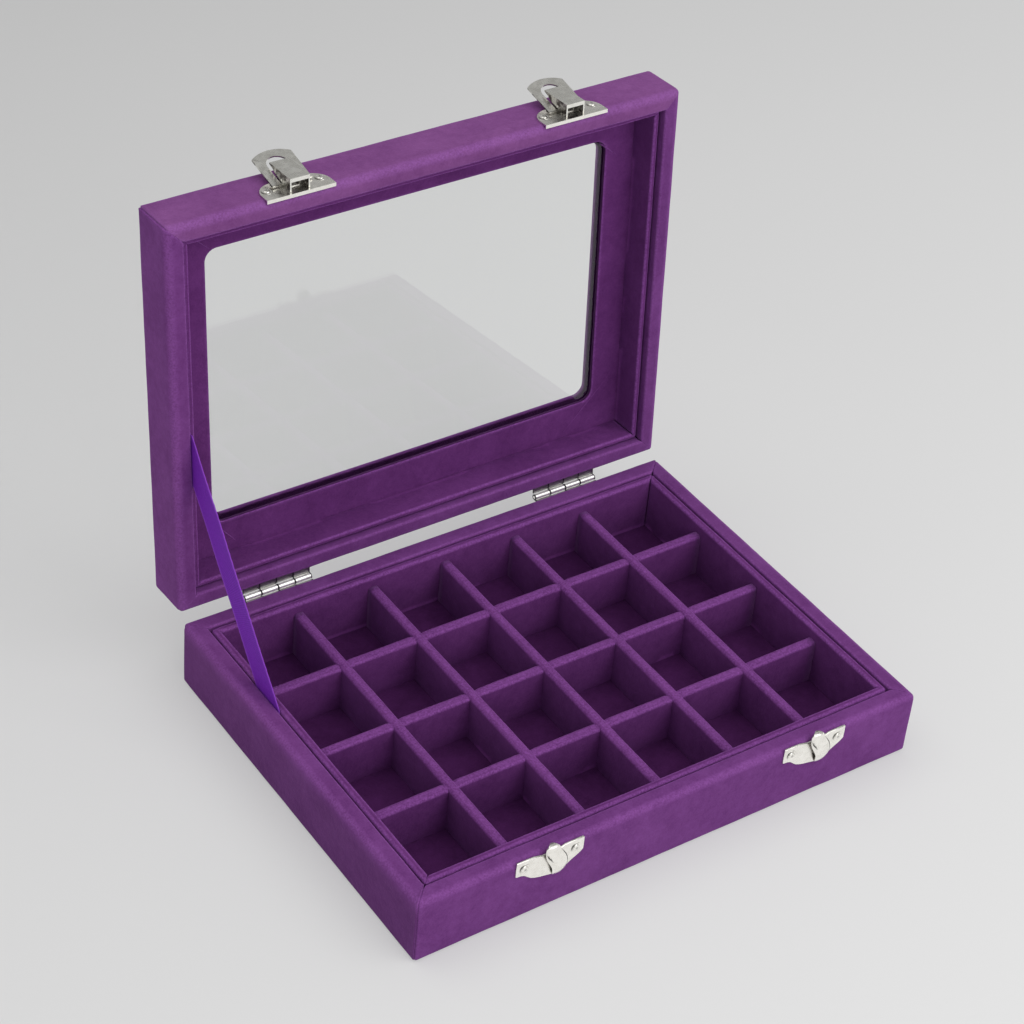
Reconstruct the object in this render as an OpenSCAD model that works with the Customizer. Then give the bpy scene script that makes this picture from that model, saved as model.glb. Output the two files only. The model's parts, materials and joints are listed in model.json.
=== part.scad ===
// Velvet ring display box with a glazed lid, two snap clasps and a ribbon stay.
// The origin is the centre of the base's underside; the front of the box faces -Y.

/* [Base] */
// Outside width of the base
base_w = 200; // [170:5:240]
// Outside depth of the base
base_d = 151; // [130:1:180]
// Height of the base walls' top above the table
base_h = 26; // [22:1:40]
// Thickness of the covered wall boards, base and lid
board_t = 6.5; // [5:0.5:8]
// Radius of the padded outer edge along the top of the base and of the lid
edge_r = 2.6; // [1.5:0.1:3]
// Radius of the boards' inner edge
inner_edge_r = 1; // [0.5:0.1:1.5]
// Radius of the base walls' bottom edge
foot_r = 1; // [0.5:0.1:2]
// Radius of the upright corners in plan
corner_r = 1.5; // [0.5:0.1:2.5]
// Thickness of the felt sheet under the base
cover_t = 0.4; // [0.3:0.1:1]
// How far the felt sheet stops short of the outside
cover_inset = 3; // [2:0.5:6]
// Thickness of the bottom board
bottom_t = 3; // [2:0.5:4]

/* [Tray] */
// Thickness of the covered card on the tray's floor
floor_t = 0.8; // [0.5:0.1:1.5]
// Groove between a wall and its liner
seam_gap = 0.5; // [0.4:0.1:1]
// Thickness of the padded liner boards
liner_t = 3; // [2:0.5:4]
// How far the liner stops below the base's top
liner_drop = 0.2; // [0:0.1:1]
// Thickness of the dividers
divider_t = 3.9; // [2.5:0.1:5]
// How far the dividers stop below the liner
divider_drop = 4; // [2:0.1:8]
// How much shorter the rear row of compartments is than the others
rear_row_short = 3.4; // [0:0.1:5]

/* [Lid] */
// How far the lid stands in from the base's side faces
side_reveal = 0.25; // [0:0.25:2]
// How far the lid stands in from the base's rear face
rear_reveal = 0.75; // [0.5:0.05:1]
// How far the lid stands in from the base's front face
front_reveal = 1.75; // [1:0.25:3]
// Thickness of the lid from its rim to its top
lid_h = 20; // [16:0.5:25]
// Radius of the lid's soft rim edge
rim_r = 3; // [2:0.1:3.5]
// Space between the closed lid's rim and the base
mate_gap = 0.3; // [0.3:0.05:0.5]
// Angle of the open lid, where its ribbon stops it
open_angle = 94; // [90:1:110]
// Thickness of the lid's lining boards
lining_t = 2.1; // [1.5:0.1:3]
// How far the lining stands back from the rim
lining_drop = 2.5; // [1:0.1:4]
// Depth of the lid's inside, from the rim to the retaining frame
lid_cavity = 14; // [10:0.5:16]
// Thickness of the frame that retains the glass
retainer_t = 1.4; // [1:0.1:2]
// Thickness of the glass
glass_t = 2; // [1.5:0.1:3]
// Distance of the window from the lid's sides
window_side = 20.75; // [14:0.25:30]
// Distance of the window from the lid's front
window_front = 20; // [14:0.5:30]
// Distance of the window from the lid's rear
window_rear = 22; // [14:0.5:30]
// Radius of the window's corners
window_r = 4.5; // [2:0.5:8]
// How far the top frame reaches into the retaining frame's window
window_step = 1; // [0.5:0.1:2]

/* [Hinges] */
// Distance of the left hinge's middle from the base's left side
hinge_left_in = 37.7; // [30:0.1:60]
// Distance of the right hinge's middle from the base's right side
hinge_right_in = 41.4; // [30:0.1:60]
// Length of each hinge
hinge_len = 26.6; // [20:0.2:30]
// Outer radius of the knuckles
knuckle_r = 1.1; // [1:0.05:1.4]
// Radius of the hinge pins
hinge_pin_r = 0.5; // [0.4:0.05:0.6]
// Thickness of the leaves
leaf_t = 0.5; // [0.4:0.05:0.6]
// Reach of the leaves from the hinge axis
leaf_reach = 6; // [4.5:0.1:7]

/* [Clasps] */
// Distance of the left clasp's middle from the base's left side
clasp_left_in = 49; // [40:0.5:60]
// Distance of the right clasp's middle from the base's right side
clasp_right_in = 44.5; // [40:0.5:60]
// Thickness of the nickel sheet
sheet = 0.5; // [0.4:0.05:0.6]
// Width of the clasp's plate
plate_w = 25.2; // [22:0.2:28]
// Height of the clasp's plate on the lid's front
plate_h = 10; // [9:0.1:12]
// Radius of the plate's upper corners
plate_r = 6.5; // [2:0.1:7]
// Length of the plate's lip round the rim edge
lip_in = 0.8; // [0.6:0.05:1.2]
// Height of the lever's pin above the rim
pin_u = 6.5; // [6.2:0.1:7]
// Distance of the pin's axis from the lid's face
pin_out = 2.6; // [2.5:0.05:2.8]
// Radius of the clasp pins
clasp_pin_r = 0.45; // [0.35:0.05:0.6]
// Width of the lever's channel
channel_w = 7.3; // [7:0.1:8]
// Height of the channel above the lid's face
channel_out = 5.25; // [5:0.05:6]
// Height of the channel's mouth above the rim
mouth_u = 1.2; // [1:0.05:1.5]
// Length of the channel
channel_len = 13.3; // [12:0.1:15]
// Depth of the lip across the channel's mouth
mouth_lip = 1.35; // [1.2:0.05:1.5]
// Width of the finger tab
tab_w = 14.4; // [13:0.1:16]
// Length of the finger tab from the pin
tab_len = 16; // [14:0.1:18]
// Radius of the finger tab's end
tab_r = 12; // [7.5:0.1:16]
// Width of the finger tab's arms
tab_arm = 3.2; // [2.6:0.1:3.3]
// Width of the finger tab's end band
tab_band = 3.2; // [2.4:0.1:4]
// Slope of the finger tab from the lid's face
tab_tilt = 14.5; // [12:0.5:16]

/* [Catches] */
// Width of the catch plates on the base
catch_w = 26; // [24:0.5:28]
// Distance of the catch plate's straight upper edge below the base's top
catch_drop = 1; // [0:0.1:3]
// Height of the catch plate
catch_h = 12.2; // [10:0.1:14]
// Radius of the catch plate's lower edge
catch_r = 11.5; // [10.5:0.1:20]
// Height of the catch plate's square ends
catch_end = 6.2; // [5:0.1:7]
// Half width of the nose's wide foot
nose_foot_r = 4.1; // [3.5:0.1:4.5]
// Half width of the nose where it enters the channel
nose_tip_r = 2.6; // [2.2:0.1:2.7]
// How far the nose swells out of the wall
nose_swell = 2.1; // [1.5:0.1:2.5]
// Height of the nose's hook
hook_h = 0.8; // [0.6:0.05:1]
// Depth of the hook's hold behind the channel's lip
hook_hold = 0.25; // [0.15:0.05:0.4]

/* [Nails] */
// Distance of a nail from its clasp's or catch's middle
nail_x = 9.8; // [9.2:0.1:10.5]
// Radius of a nail's domed head
nail_head_r = 1.3; // [1:0.05:1.5]
// Height of a nail's domed head
nail_head_h = 0.5; // [0.3:0.05:0.7]
// Radius of a nail's shank
nail_r = 0.5; // [0.4:0.05:0.7]
// Length of a nail's shank
nail_len = 4.5; // [3:0.1:5]
// Height of the clasp nails above the rim
clasp_nail_u = 5.6; // [5:0.1:6]
// Distance of the catch nails below the catch plate's upper edge
catch_nail_drop = 3.5; // [3:0.1:4]

/* [Ribbon] */
// Width of the ribbon, square to its run
ribbon_w = 12; // [6:0.5:16]
// Thickness of the ribbon
ribbon_t = 0.3; // [0.2:0.05:0.3]
// Length of ribbon tucked into each groove
ribbon_tuck = 5; // [3:0.5:8]
// Distance of the ribbon in the base's groove from the base's rear face
ribbon_base_back = 46.5; // [35:0.1:60]
// Distance of the ribbon in the lid's groove from the lid's rear face
ribbon_lid_back = 60.2; // [50:0.1:75]

/* [Clearances] */
// Space round boards and cards that drop into place
fit_gap = 0.1; // [0.05:0.05:0.2]
// Running clearance round a pin, measured on the radius
pin_gap = 0.04; // [0.02:0.01:0.08]
// Space between neighbouring knuckles
knuckle_gap = 0.1; // [0.05:0.05:0.2]
// Space between a knuckle and the rear wall
hinge_gap = 0.05; // [0.05:0.05:0.2]
// Space round a leaf in its slot and a nail in its hole
tuck_gap = 0.05; // [0.03:0.01:0.1]
// Space between the catch's nose and the lever
catch_gap = 0.3; // [0.25:0.05:0.35]
// Space between the lever's walls and the plate
stop_gap = 0.1; // [0.05:0.05:0.15]

/* [Hidden] */
$fn = 48;
velvet = "#6d3a7c";
velvet_inside = "#5a2c69";
velvet_dark = "#43204f";
nickel = "#c9c7c0";
cut_over = 1;

columns = 6;
rows = 4;
floor_top = cover_t + bottom_t + floor_t;
liner_top = base_h - liner_drop;
wall_inset = board_t + seam_gap + liner_t;
inner_w = base_w - 2 * wall_inset;
inner_d = base_d - 2 * wall_inset;
divider_top = liner_top - divider_drop;
divider_mid = (floor_top + divider_top) / 2;
col_pitch = inner_w / columns;
row_pitch = (inner_d + rear_row_short) / rows;
function long_x(i) = -inner_w / 2 + i * col_pitch;
function cross_y(j) = -inner_d / 2 + j * row_pitch;

lid_w = base_w - 2 * side_reveal;
lid_d = base_d - rear_reveal - front_reveal;
lid_rear_y = base_d / 2 - rear_reveal;
lid_mid_y = lid_rear_y - lid_d / 2;
lid_z = base_h + mate_gap;
axis_y = base_d / 2 + knuckle_r + hinge_gap;
axis_z = base_h + mate_gap / 2;
lining_inset = board_t + seam_gap;
window_w = lid_w - 2 * window_side;
window_d = lid_d - window_front - window_rear;
glass_z = lid_cavity + retainer_t;
top_frame_z = glass_z + glass_t;
knuckle_count = 4;
knuckle_w = hinge_len / knuckle_count;
hinge_left_x = hinge_left_in - base_w / 2;
hinge_right_x = base_w / 2 - hinge_right_in;

clasp_left_x = clasp_left_in - base_w / 2;
clasp_right_x = base_w / 2 - clasp_right_in;
lip_low = channel_out - mouth_lip;
foot_out = pin_out - 1.7;
channel_end = mouth_u + channel_len;
ear_x = channel_w / 2 - 2.7 * sheet;
hook_low_z = lid_z + mouth_u + sheet + catch_gap;
hook_top_z = hook_low_z + hook_h;
neck_out = lip_low - catch_gap - front_reveal;
hook_out = lip_low + hook_hold - front_reveal;
catch_top = base_h - catch_drop;
nose_low_z = catch_top - catch_h;
nose_neck_z = lid_z;
ribbon_base_x = -(base_w / 2 - board_t - seam_gap / 2);
ribbon_lid_x = -(lid_w / 2 - board_t - seam_gap / 2);
ribbon_base_y = base_d / 2 - ribbon_base_back;
ribbon_lid_y = lid_d / 2 - ribbon_lid_back;

// Waste outside a rounded corner at the origin
module corner_waste(r) {
  difference() {
    translate([-cut_over, -cut_over]) square(r + cut_over);
    translate([r, r]) circle(r);
  }
}

// Cross-section of a covered board: outer face at x = 0, with its own radius on each edge
module board_section(t, h, top_out, top_in, low_out, low_in) {
  difference() {
    square([t, h]);
    if (top_out > 0) translate([0, h]) mirror([0, 1]) corner_waste(top_out);
    if (top_in > 0) translate([t, h]) rotate(180) corner_waste(top_in);
    if (low_out > 0) corner_waste(low_out);
    if (low_in > 0) translate([t, 0]) mirror([1, 0]) corner_waste(low_in);
  }
}

module rounded_plan(w, d, r) {
  square([w - 2 * r, d], center = true);
  square([w, d - 2 * r], center = true);
  for (x = [-1, 1], y = [-1, 1])
    translate([x * (w / 2 - r), y * (d / 2 - r)]) circle(r);
}

// One side of a mitred frame w by d; the child is its cross-section, angle 0 is the front
module mitred_board(angle, w, d, t, h, r) {
  across = angle % 180 == 0 ? w : d;
  deep = angle % 180 == 0 ? d : w;
  rotate(angle) intersection() {
    translate([-across / 2, -deep / 2, 0]) rotate([90, 0, 90]) linear_extrude(across) children();
    linear_extrude(h) intersection() {
      rounded_plan(across, deep, r);
      polygon([[-across / 2, -deep / 2], [across / 2, -deep / 2],
        [across / 2 - t, t - deep / 2], [t - across / 2, t - deep / 2]]);
    }
  }
}

// Frames of reference: the lid's middle at its rim, a face of the lid or base, a hinge axis
module in_lid() {
  translate([0, axis_y, axis_z]) rotate([-open_angle, 0, 0])
    translate([0, lid_mid_y - axis_y, lid_z - axis_z]) children();
}
module on_lid_front(x) {
  translate([x, -lid_d / 2, 0]) rotate([90, 0, 0]) children();
}
module on_base_front(x) {
  translate([x, -base_d / 2, 0]) rotate([90, 0, 0]) children();
}
module on_base_axis(x) {
  translate([x, axis_y, axis_z]) children();
}
module on_lid_axis(x) {
  translate([x, axis_y - lid_mid_y, axis_z - lid_z]) children();
}

module nail() {
  rotate_extrude() difference() {
    translate([0, nail_head_h - dome_r()]) circle(dome_r());
    translate([-2 * dome_r(), -3 * dome_r()]) square([4 * dome_r(), 3 * dome_r()]);
    translate([-2 * dome_r(), -cut_over]) square([2 * dome_r(), 3 * dome_r()]);
  }
  translate([0, 0, -nail_len]) cylinder(r = nail_r, h = nail_len + nail_head_h / 2);
}
function dome_r() = (nail_head_r * nail_head_r + nail_head_h * nail_head_h) / (2 * nail_head_h);

module nail_hole() {
  translate([0, 0, -nail_len - tuck_gap]) cylinder(r = nail_r + tuck_gap, h = nail_len + 2 * cut_over);
}

module at_clasp_nails() {
  for (x = [clasp_left_x, clasp_right_x], s = [-1, 1])
    on_lid_front(x + s * nail_x) translate([0, clasp_nail_u, sheet]) children();
}
module at_catch_nails() {
  for (x = [clasp_left_x, clasp_right_x], s = [-1, 1])
    on_base_front(x + s * nail_x) translate([0, catch_top - catch_nail_drop, sheet]) children();
}

module base_wall(angle) {
  translate([0, 0, cover_t])
    mitred_board(angle, base_w, base_d, board_t, base_h - cover_t, corner_r)
      board_section(board_t, base_h - cover_t, edge_r, inner_edge_r, foot_r, 0);
}

module leaf_slot() {
  translate([-hinge_len / 2 - tuck_gap, -leaf_reach - tuck_gap, -knuckle_r - tuck_gap])
    cube([hinge_len + 2 * tuck_gap, leaf_reach + cut_over, leaf_t + 2 * tuck_gap]);
}

module base_front_wall() {
  color(velvet) difference() {
    base_wall(0);
    at_catch_nails() nail_hole();
  }
}
module base_rear_wall() {
  color(velvet) difference() {
    base_wall(180);
    for (x = [hinge_left_x, hinge_right_x]) on_base_axis(x) leaf_slot();
  }
}
module base_left_wall() {
  color(velvet) base_wall(270);
}
module base_right_wall() {
  color(velvet) base_wall(90);
}

// A flat board or card that drops between the boards of a frame w by d
module dropped_in(w, d, t) {
  translate([0, 0, t / 2]) cube([w - 2 * board_t - 2 * fit_gap, d - 2 * board_t - 2 * fit_gap, t], center = true);
}

module base_bottom_board() {
  color("#b79a72") translate([0, 0, cover_t]) dropped_in(base_w, base_d, bottom_t);
}
module underside_cover() {
  color("#2c2230") linear_extrude(cover_t)
    rounded_plan(base_w - 2 * cover_inset, base_d - 2 * cover_inset, corner_r);
}
module tray_floor() {
  color(velvet_dark) translate([0, 0, cover_t + bottom_t]) dropped_in(base_w, base_d, floor_t);
}

module liner(angle) {
  inset = 2 * (board_t + seam_gap);
  round = liner_t * 0.45;
  color(velvet_inside) translate([0, 0, floor_top])
    mitred_board(angle, base_w - inset, base_d - inset, liner_t, liner_top - floor_top, inner_edge_r)
      board_section(liner_t, liner_top - floor_top, round, round, 0, 0);
}

// Cross-section of a divider, rounded over its top
module divider_section() {
  translate([-divider_t / 2, 0]) square([divider_t, divider_top - floor_top - divider_t / 2]);
  translate([0, divider_top - floor_top - divider_t / 2]) circle(divider_t / 2);
}

module lap_slot(z_low, z_high) {
  translate([0, 0, (z_low + z_high) / 2])
    cube([divider_t + 2 * fit_gap, divider_t + 2 * fit_gap, z_high - z_low], center = true);
}

module long_divider(i) {
  length = inner_d - 2 * fit_gap;
  color(velvet_inside) difference() {
    translate([long_x(i), length / 2, floor_top]) rotate([90, 0, 0]) linear_extrude(length) divider_section();
    for (j = [1 : rows - 1])
      translate([long_x(i), cross_y(j), 0]) lap_slot(floor_top - cut_over, divider_mid + fit_gap);
  }
}

module cross_divider(j) {
  length = inner_w - 2 * fit_gap;
  color(velvet_inside) difference() {
    translate([-length / 2, cross_y(j), floor_top]) rotate([90, 0, 90]) linear_extrude(length) divider_section();
    for (i = [1 : columns - 1])
      translate([long_x(i), cross_y(j), 0]) lap_slot(divider_mid, divider_top + cut_over);
  }
}

// Outline that tapers from a circle r1 at height y1 to a circle r2 at height y2
module tapered_outline(r1, y1, r2, y2) {
  a = asin((r1 - r2) / (y2 - y1));
  translate([0, y1]) circle(r1);
  translate([0, y2]) circle(r2);
  polygon([[-r1 * cos(a), y1 + r1 * sin(a)], [r1 * cos(a), y1 + r1 * sin(a)],
    [r2 * cos(a), y2 + r2 * sin(a)], [-r2 * cos(a), y2 + r2 * sin(a)]]);
}

// Side view of the catch's nose: it swells out of the wall, necks in and ends in a hook
module nose_side() {
  swell_steps = 12;
  swell = [for (i = [0 : swell_steps])
    let (s = i / swell_steps, z = nose_low_z + s * (nose_neck_z - nose_low_z))
      [z, neck_out * s + nose_swell * sin(180 * s)]];
  round = hook_h / 2;
  hook = [for (a = [0 : 15 : 90])
    [hook_top_z - round + round * sin(a), hook_out - round + round * cos(a)]];
  polygon(concat([[nose_low_z, 0]], swell, [[hook_low_z - hook_h / 4, neck_out], [hook_low_z, hook_out]],
    hook, [[hook_top_z, round], [hook_top_z - round, 0]]));
}

module front_catch(x) {
  color(nickel) on_base_front(x) {
    linear_extrude(sheet) difference() {
      union() {
        intersection() {
          translate([-catch_w / 2, nose_low_z]) square([catch_w, catch_h]);
          translate([0, nose_low_z + catch_r]) circle(catch_r, $fn = 96);
        }
        for (s = [-1, 1])
          translate([s * (catch_w - catch_end / 2) / 2, catch_top - catch_end / 2])
            square([catch_end / 2, catch_end], center = true);
      }
      for (s = [-1, 1])
        translate([s * nail_x, catch_top - catch_nail_drop]) circle(nail_r + tuck_gap);
    }
    intersection() {
      translate([-nose_foot_r, 0, 0]) rotate([90, 0, 90]) linear_extrude(2 * nose_foot_r) nose_side();
      linear_extrude(nose_swell + neck_out + hook_out)
        tapered_outline(nose_foot_r, nose_low_z + nose_foot_r, nose_tip_r, hook_top_z - nose_tip_r);
    }
  }
}

module catch_nails() {
  color(nickel) at_catch_nails() nail();
}

// A leaf with every other knuckle, from the first with odd = 0, from the second with odd = 1
module hinge_leaf(odd) {
  reach = knuckle_r + knuckle_gap;
  color("#b9b4a8") difference() {
    union() {
      translate([-hinge_len / 2, -leaf_reach, -knuckle_r]) cube([hinge_len, leaf_reach, leaf_t]);
      translate([-hinge_len / 2, 0, 0]) rotate([0, 90, 0]) cylinder(r = knuckle_r, h = hinge_len);
    }
    translate([-hinge_len, 0, 0]) rotate([0, 90, 0])
      cylinder(r = hinge_pin_r + pin_gap, h = 2 * hinge_len);
    for (k = [1 - odd : 2 : knuckle_count - 1])
      translate([-hinge_len / 2 + k * knuckle_w - knuckle_gap, -reach - knuckle_gap, -reach])
        cube([knuckle_w + 2 * knuckle_gap, 2 * (reach + knuckle_gap), 2 * reach]);
  }
}
module hinge_base_leaf(x) {
  on_base_axis(x) hinge_leaf(0);
}
module hinge_lid_leaf(x) {
  in_lid() on_lid_axis(x) mirror([0, 0, 1]) hinge_leaf(1);
}
module hinge_pin(x) {
  color("#d6d2c6") on_base_axis(x) translate([-hinge_len / 2, 0, 0]) rotate([0, 90, 0])
    cylinder(r = hinge_pin_r, h = hinge_len);
}

module lid_rail(angle) {
  mitred_board(angle, lid_w, lid_d, board_t, lid_h, corner_r)
    board_section(board_t, lid_h, edge_r, 0, rim_r, inner_edge_r);
}
module lid_front_rail() {
  color(velvet) in_lid() difference() {
    lid_rail(0);
    at_clasp_nails() nail_hole();
  }
}
module lid_rear_rail() {
  color(velvet) in_lid() difference() {
    lid_rail(180);
    for (x = [hinge_left_x, hinge_right_x]) on_lid_axis(x) mirror([0, 0, 1]) leaf_slot();
  }
}
module lid_left_rail() {
  color(velvet) in_lid() lid_rail(270);
}
module lid_right_rail() {
  color(velvet) in_lid() lid_rail(90);
}

module lid_lining(angle) {
  round = lining_t * 0.45;
  color(velvet_inside) in_lid() translate([0, 0, lining_drop])
    mitred_board(angle, lid_w - 2 * lining_inset, lid_d - 2 * lining_inset, lining_t,
      lid_cavity - lining_drop, inner_edge_r)
      board_section(lining_t, lid_cavity - lining_drop, 0, 0, round, round);
}

module window(t, less) {
  translate([0, (window_front - window_rear) / 2, -cut_over]) linear_extrude(t + 2 * cut_over)
    rounded_plan(window_w - 2 * less, window_d - 2 * less, window_r);
}
module glass_retainer() {
  color(velvet_inside) in_lid() translate([0, 0, lid_cavity]) difference() {
    dropped_in(lid_w, lid_d, retainer_t);
    window(retainer_t, 0);
  }
}
module lid_top_frame() {
  color(velvet) in_lid() translate([0, 0, top_frame_z]) difference() {
    dropped_in(lid_w, lid_d, lid_h - top_frame_z);
    window(lid_h - top_frame_z, window_step);
  }
}
module glass_pane() {
  color("#dfe8ea", 0.25) in_lid() translate([0, 0, glass_z]) dropped_in(lid_w, lid_d, glass_t);
}

module pin_bore(length) {
  translate([-length / 2, pin_u, pin_out]) rotate([0, 90, 0])
    cylinder(r = clasp_pin_r + pin_gap, h = length);
}

module clasp_plate(x) {
  color(nickel) in_lid() on_lid_front(x) difference() {
    union() {
      linear_extrude(sheet) intersection() {
        rounded_plan(plate_w, 2 * plate_h, plate_r);
        translate([-plate_w / 2, 0]) square([plate_w, plate_h]);
      }
      translate([-plate_w / 2, 0, -lip_in]) cube([plate_w, sheet, lip_in + sheet]);
      for (s = [-1, 1]) translate([s * ear_x - sheet / 2, pin_u, 0]) rotate([90, 0, 90]) linear_extrude(sheet) {
        translate([-2 * clasp_pin_r, 0]) square([4 * clasp_pin_r, pin_out]);
        translate([0, pin_out]) circle(2 * clasp_pin_r);
      }
    }
    pin_bore(channel_w);
    for (s = [-1, 1]) translate([s * nail_x, clasp_nail_u, -cut_over])
      cylinder(r = nail_r + tuck_gap, h = sheet + 2 * cut_over);
  }
}

// Side wall of the lever: deep at the mouth, cut away behind the pin so that the lever can tilt
module lever_wall() {
  low = sheet + stop_gap;
  top_in = channel_out - sheet;
  polygon([[mouth_u, low], [pin_u, low], [pin_u + 2.5, low + 1.1], [channel_end - 2, top_in - 0.65],
    [channel_end, top_in], [channel_end, channel_out], [mouth_u, channel_out]]);
}

// Finger tab: two arms joined by a curved band, drawn flat from the pin outwards
module tab_outline() {
  straight = tab_len - tab_r + sqrt(tab_r * tab_r - tab_w * tab_w / 4);
  hole_r = tab_w / 2 - tab_arm;
  difference() {
    union() {
      translate([-tab_w / 2, 0]) square([tab_w, straight]);
      intersection() {
        translate([0, tab_len - tab_r]) circle(tab_r, $fn = 96);
        translate([-tab_w / 2, straight / 2]) square([tab_w, tab_len]);
      }
    }
    translate([-hole_r, -cut_over]) square([2 * hole_r, tab_len - tab_band - hole_r + cut_over]);
    translate([0, tab_len - tab_band - hole_r]) circle(hole_r);
  }
}

module clasp_lever(x) {
  color(nickel) in_lid() on_lid_front(x) difference() {
    union() {
      for (s = [-1, 1])
        translate([s * (channel_w - sheet) / 2 - sheet / 2, 0, 0]) rotate([90, 0, 90])
          linear_extrude(sheet) lever_wall();
      translate([-channel_w / 2, mouth_u, channel_out - sheet]) cube([channel_w, channel_len, sheet]);
      translate([-channel_w / 2, mouth_u, lip_low]) cube([channel_w, sheet, mouth_lip]);
      translate([0, pin_u, foot_out]) rotate([tab_tilt, 0, 0]) linear_extrude(sheet) tab_outline();
      for (s = [-1, 1])
        translate([s * (tab_w + channel_w - sheet) / 4, pin_u + sheet, foot_out + sheet / 2])
          cube([(tab_w - channel_w + sheet) / 2, 4 * sheet, sheet], center = true);
    }
    pin_bore(2 * channel_w);
  }
}

module clasp_pin(x) {
  length = channel_w + sheet / 2;
  color("#d6d2c6") in_lid() on_lid_front(x) translate([-length / 2, pin_u, pin_out]) rotate([0, 90, 0])
    cylinder(r = clasp_pin_r, h = length);
}

// Leaf spring: flat on the plate, then bent up to push the channel's tail outwards
module clasp_spring(x) {
  leaf = sheet / 2;
  bend_r = 1.8;
  rise_u = pin_u + 1.5;
  flat_u = pin_u - 2;
  bend_end = 65;
  touch = channel_out - sheet - stop_gap / 2;
  bend = [for (a = [0 : 5 : bend_end]) [rise_u + bend_r * sin(a), sheet + bend_r * (1 - cos(a))]];
  inner = [for (a = [bend_end : -5 : 0])
    [rise_u + (bend_r - leaf) * sin(a), sheet + bend_r - (bend_r - leaf) * cos(a)]];
  run = (touch - bend[len(bend) - 1][1]) / sin(bend_end) - leaf;
  tip = bend[len(bend) - 1] + run * [cos(bend_end), sin(bend_end)];
  color("#a9a69c") in_lid() on_lid_front(x) translate([-ear_x + sheet, 0, 0]) rotate([90, 0, 90])
    linear_extrude(2 * (ear_x - sheet))
      polygon(concat([[flat_u, sheet]], bend, [tip, tip + leaf * [-sin(bend_end), cos(bend_end)]],
        inner, [[flat_u, sheet + leaf]]));
}

module clasp_nails() {
  color(nickel) in_lid() at_clasp_nails() nail();
}

// Side view of a point of the open lid, given by its place in the lid's own frame
function from_lid(y, z) =
  let (dy = y + lid_mid_y - axis_y, dz = z + lid_z - axis_z)
    [axis_y + dy * cos(open_angle) + dz * sin(open_angle),
      axis_z - dy * sin(open_angle) + dz * cos(open_angle)];

// Ribbon: a flat band held taut between the base's and the lid's left grooves
module ribbon_stay() {
  low = [ribbon_base_y, base_h];
  rise = from_lid(ribbon_lid_y, 0) - low;
  lean = asin((ribbon_lid_x - ribbon_base_x) / norm(rise));
  slope = atan2(rise[1], rise[0]);
  half = ribbon_w / 2 / sin(slope);
  lid_half = ribbon_w / 2 / sin(180 - open_angle - slope);
  outline = [[low[0] - half, low[1] - ribbon_tuck], [low[0] + half, low[1] - ribbon_tuck],
    [low[0] + half, low[1]], from_lid(ribbon_lid_y + lid_half, 0),
    from_lid(ribbon_lid_y + lid_half, ribbon_tuck), from_lid(ribbon_lid_y - lid_half, ribbon_tuck),
    from_lid(ribbon_lid_y - lid_half, 0), [low[0] - half, low[1]]];
  color("#7a4a8c") translate([ribbon_base_x, low[0], low[1]]) rotate(a = lean, v = [0, rise[1], -rise[0]])
    translate([-ribbon_t / 2, 0, 0]) rotate([90, 0, 90]) linear_extrude(ribbon_t)
      polygon([for (p = outline) p - low]);
}

base_front_wall();
base_rear_wall();
base_left_wall();
base_right_wall();
base_bottom_board();
underside_cover();
tray_floor();
liner(0);  // liner_front
liner(180);  // liner_rear
liner(270);  // liner_left
liner(90);  // liner_right
long_divider(1);  // long_divider_1
long_divider(2);  // long_divider_2
long_divider(3);  // long_divider_3
long_divider(4);  // long_divider_4
long_divider(5);  // long_divider_5
cross_divider(1);  // cross_divider_1
cross_divider(2);  // cross_divider_2
cross_divider(3);  // cross_divider_3
front_catch(clasp_left_x);  // front_catch_left
front_catch(clasp_right_x);  // front_catch_right
catch_nails();
hinge_base_leaf(hinge_left_x);  // hinge_left_base_leaf
hinge_lid_leaf(hinge_left_x);  // hinge_left_lid_leaf
hinge_pin(hinge_left_x);  // hinge_left_pin
hinge_base_leaf(hinge_right_x);  // hinge_right_base_leaf
hinge_lid_leaf(hinge_right_x);  // hinge_right_lid_leaf
hinge_pin(hinge_right_x);  // hinge_right_pin
lid_front_rail();
lid_rear_rail();
lid_left_rail();
lid_right_rail();
lid_lining(0);  // lid_lining_front
lid_lining(180);  // lid_lining_rear
lid_lining(270);  // lid_lining_left
lid_lining(90);  // lid_lining_right
lid_top_frame();
glass_pane();
glass_retainer();
clasp_plate(clasp_left_x);  // clasp_left_plate
clasp_lever(clasp_left_x);  // clasp_left_lever
clasp_pin(clasp_left_x);  // clasp_left_pin
clasp_spring(clasp_left_x);  // clasp_left_spring
clasp_plate(clasp_right_x);  // clasp_right_plate
clasp_lever(clasp_right_x);  // clasp_right_lever
clasp_pin(clasp_right_x);  // clasp_right_pin
clasp_spring(clasp_right_x);  // clasp_right_spring
clasp_nails();
ribbon_stay();
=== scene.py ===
import json
import math
import bpy
from mathutils import Matrix, Vector, noise


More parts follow.
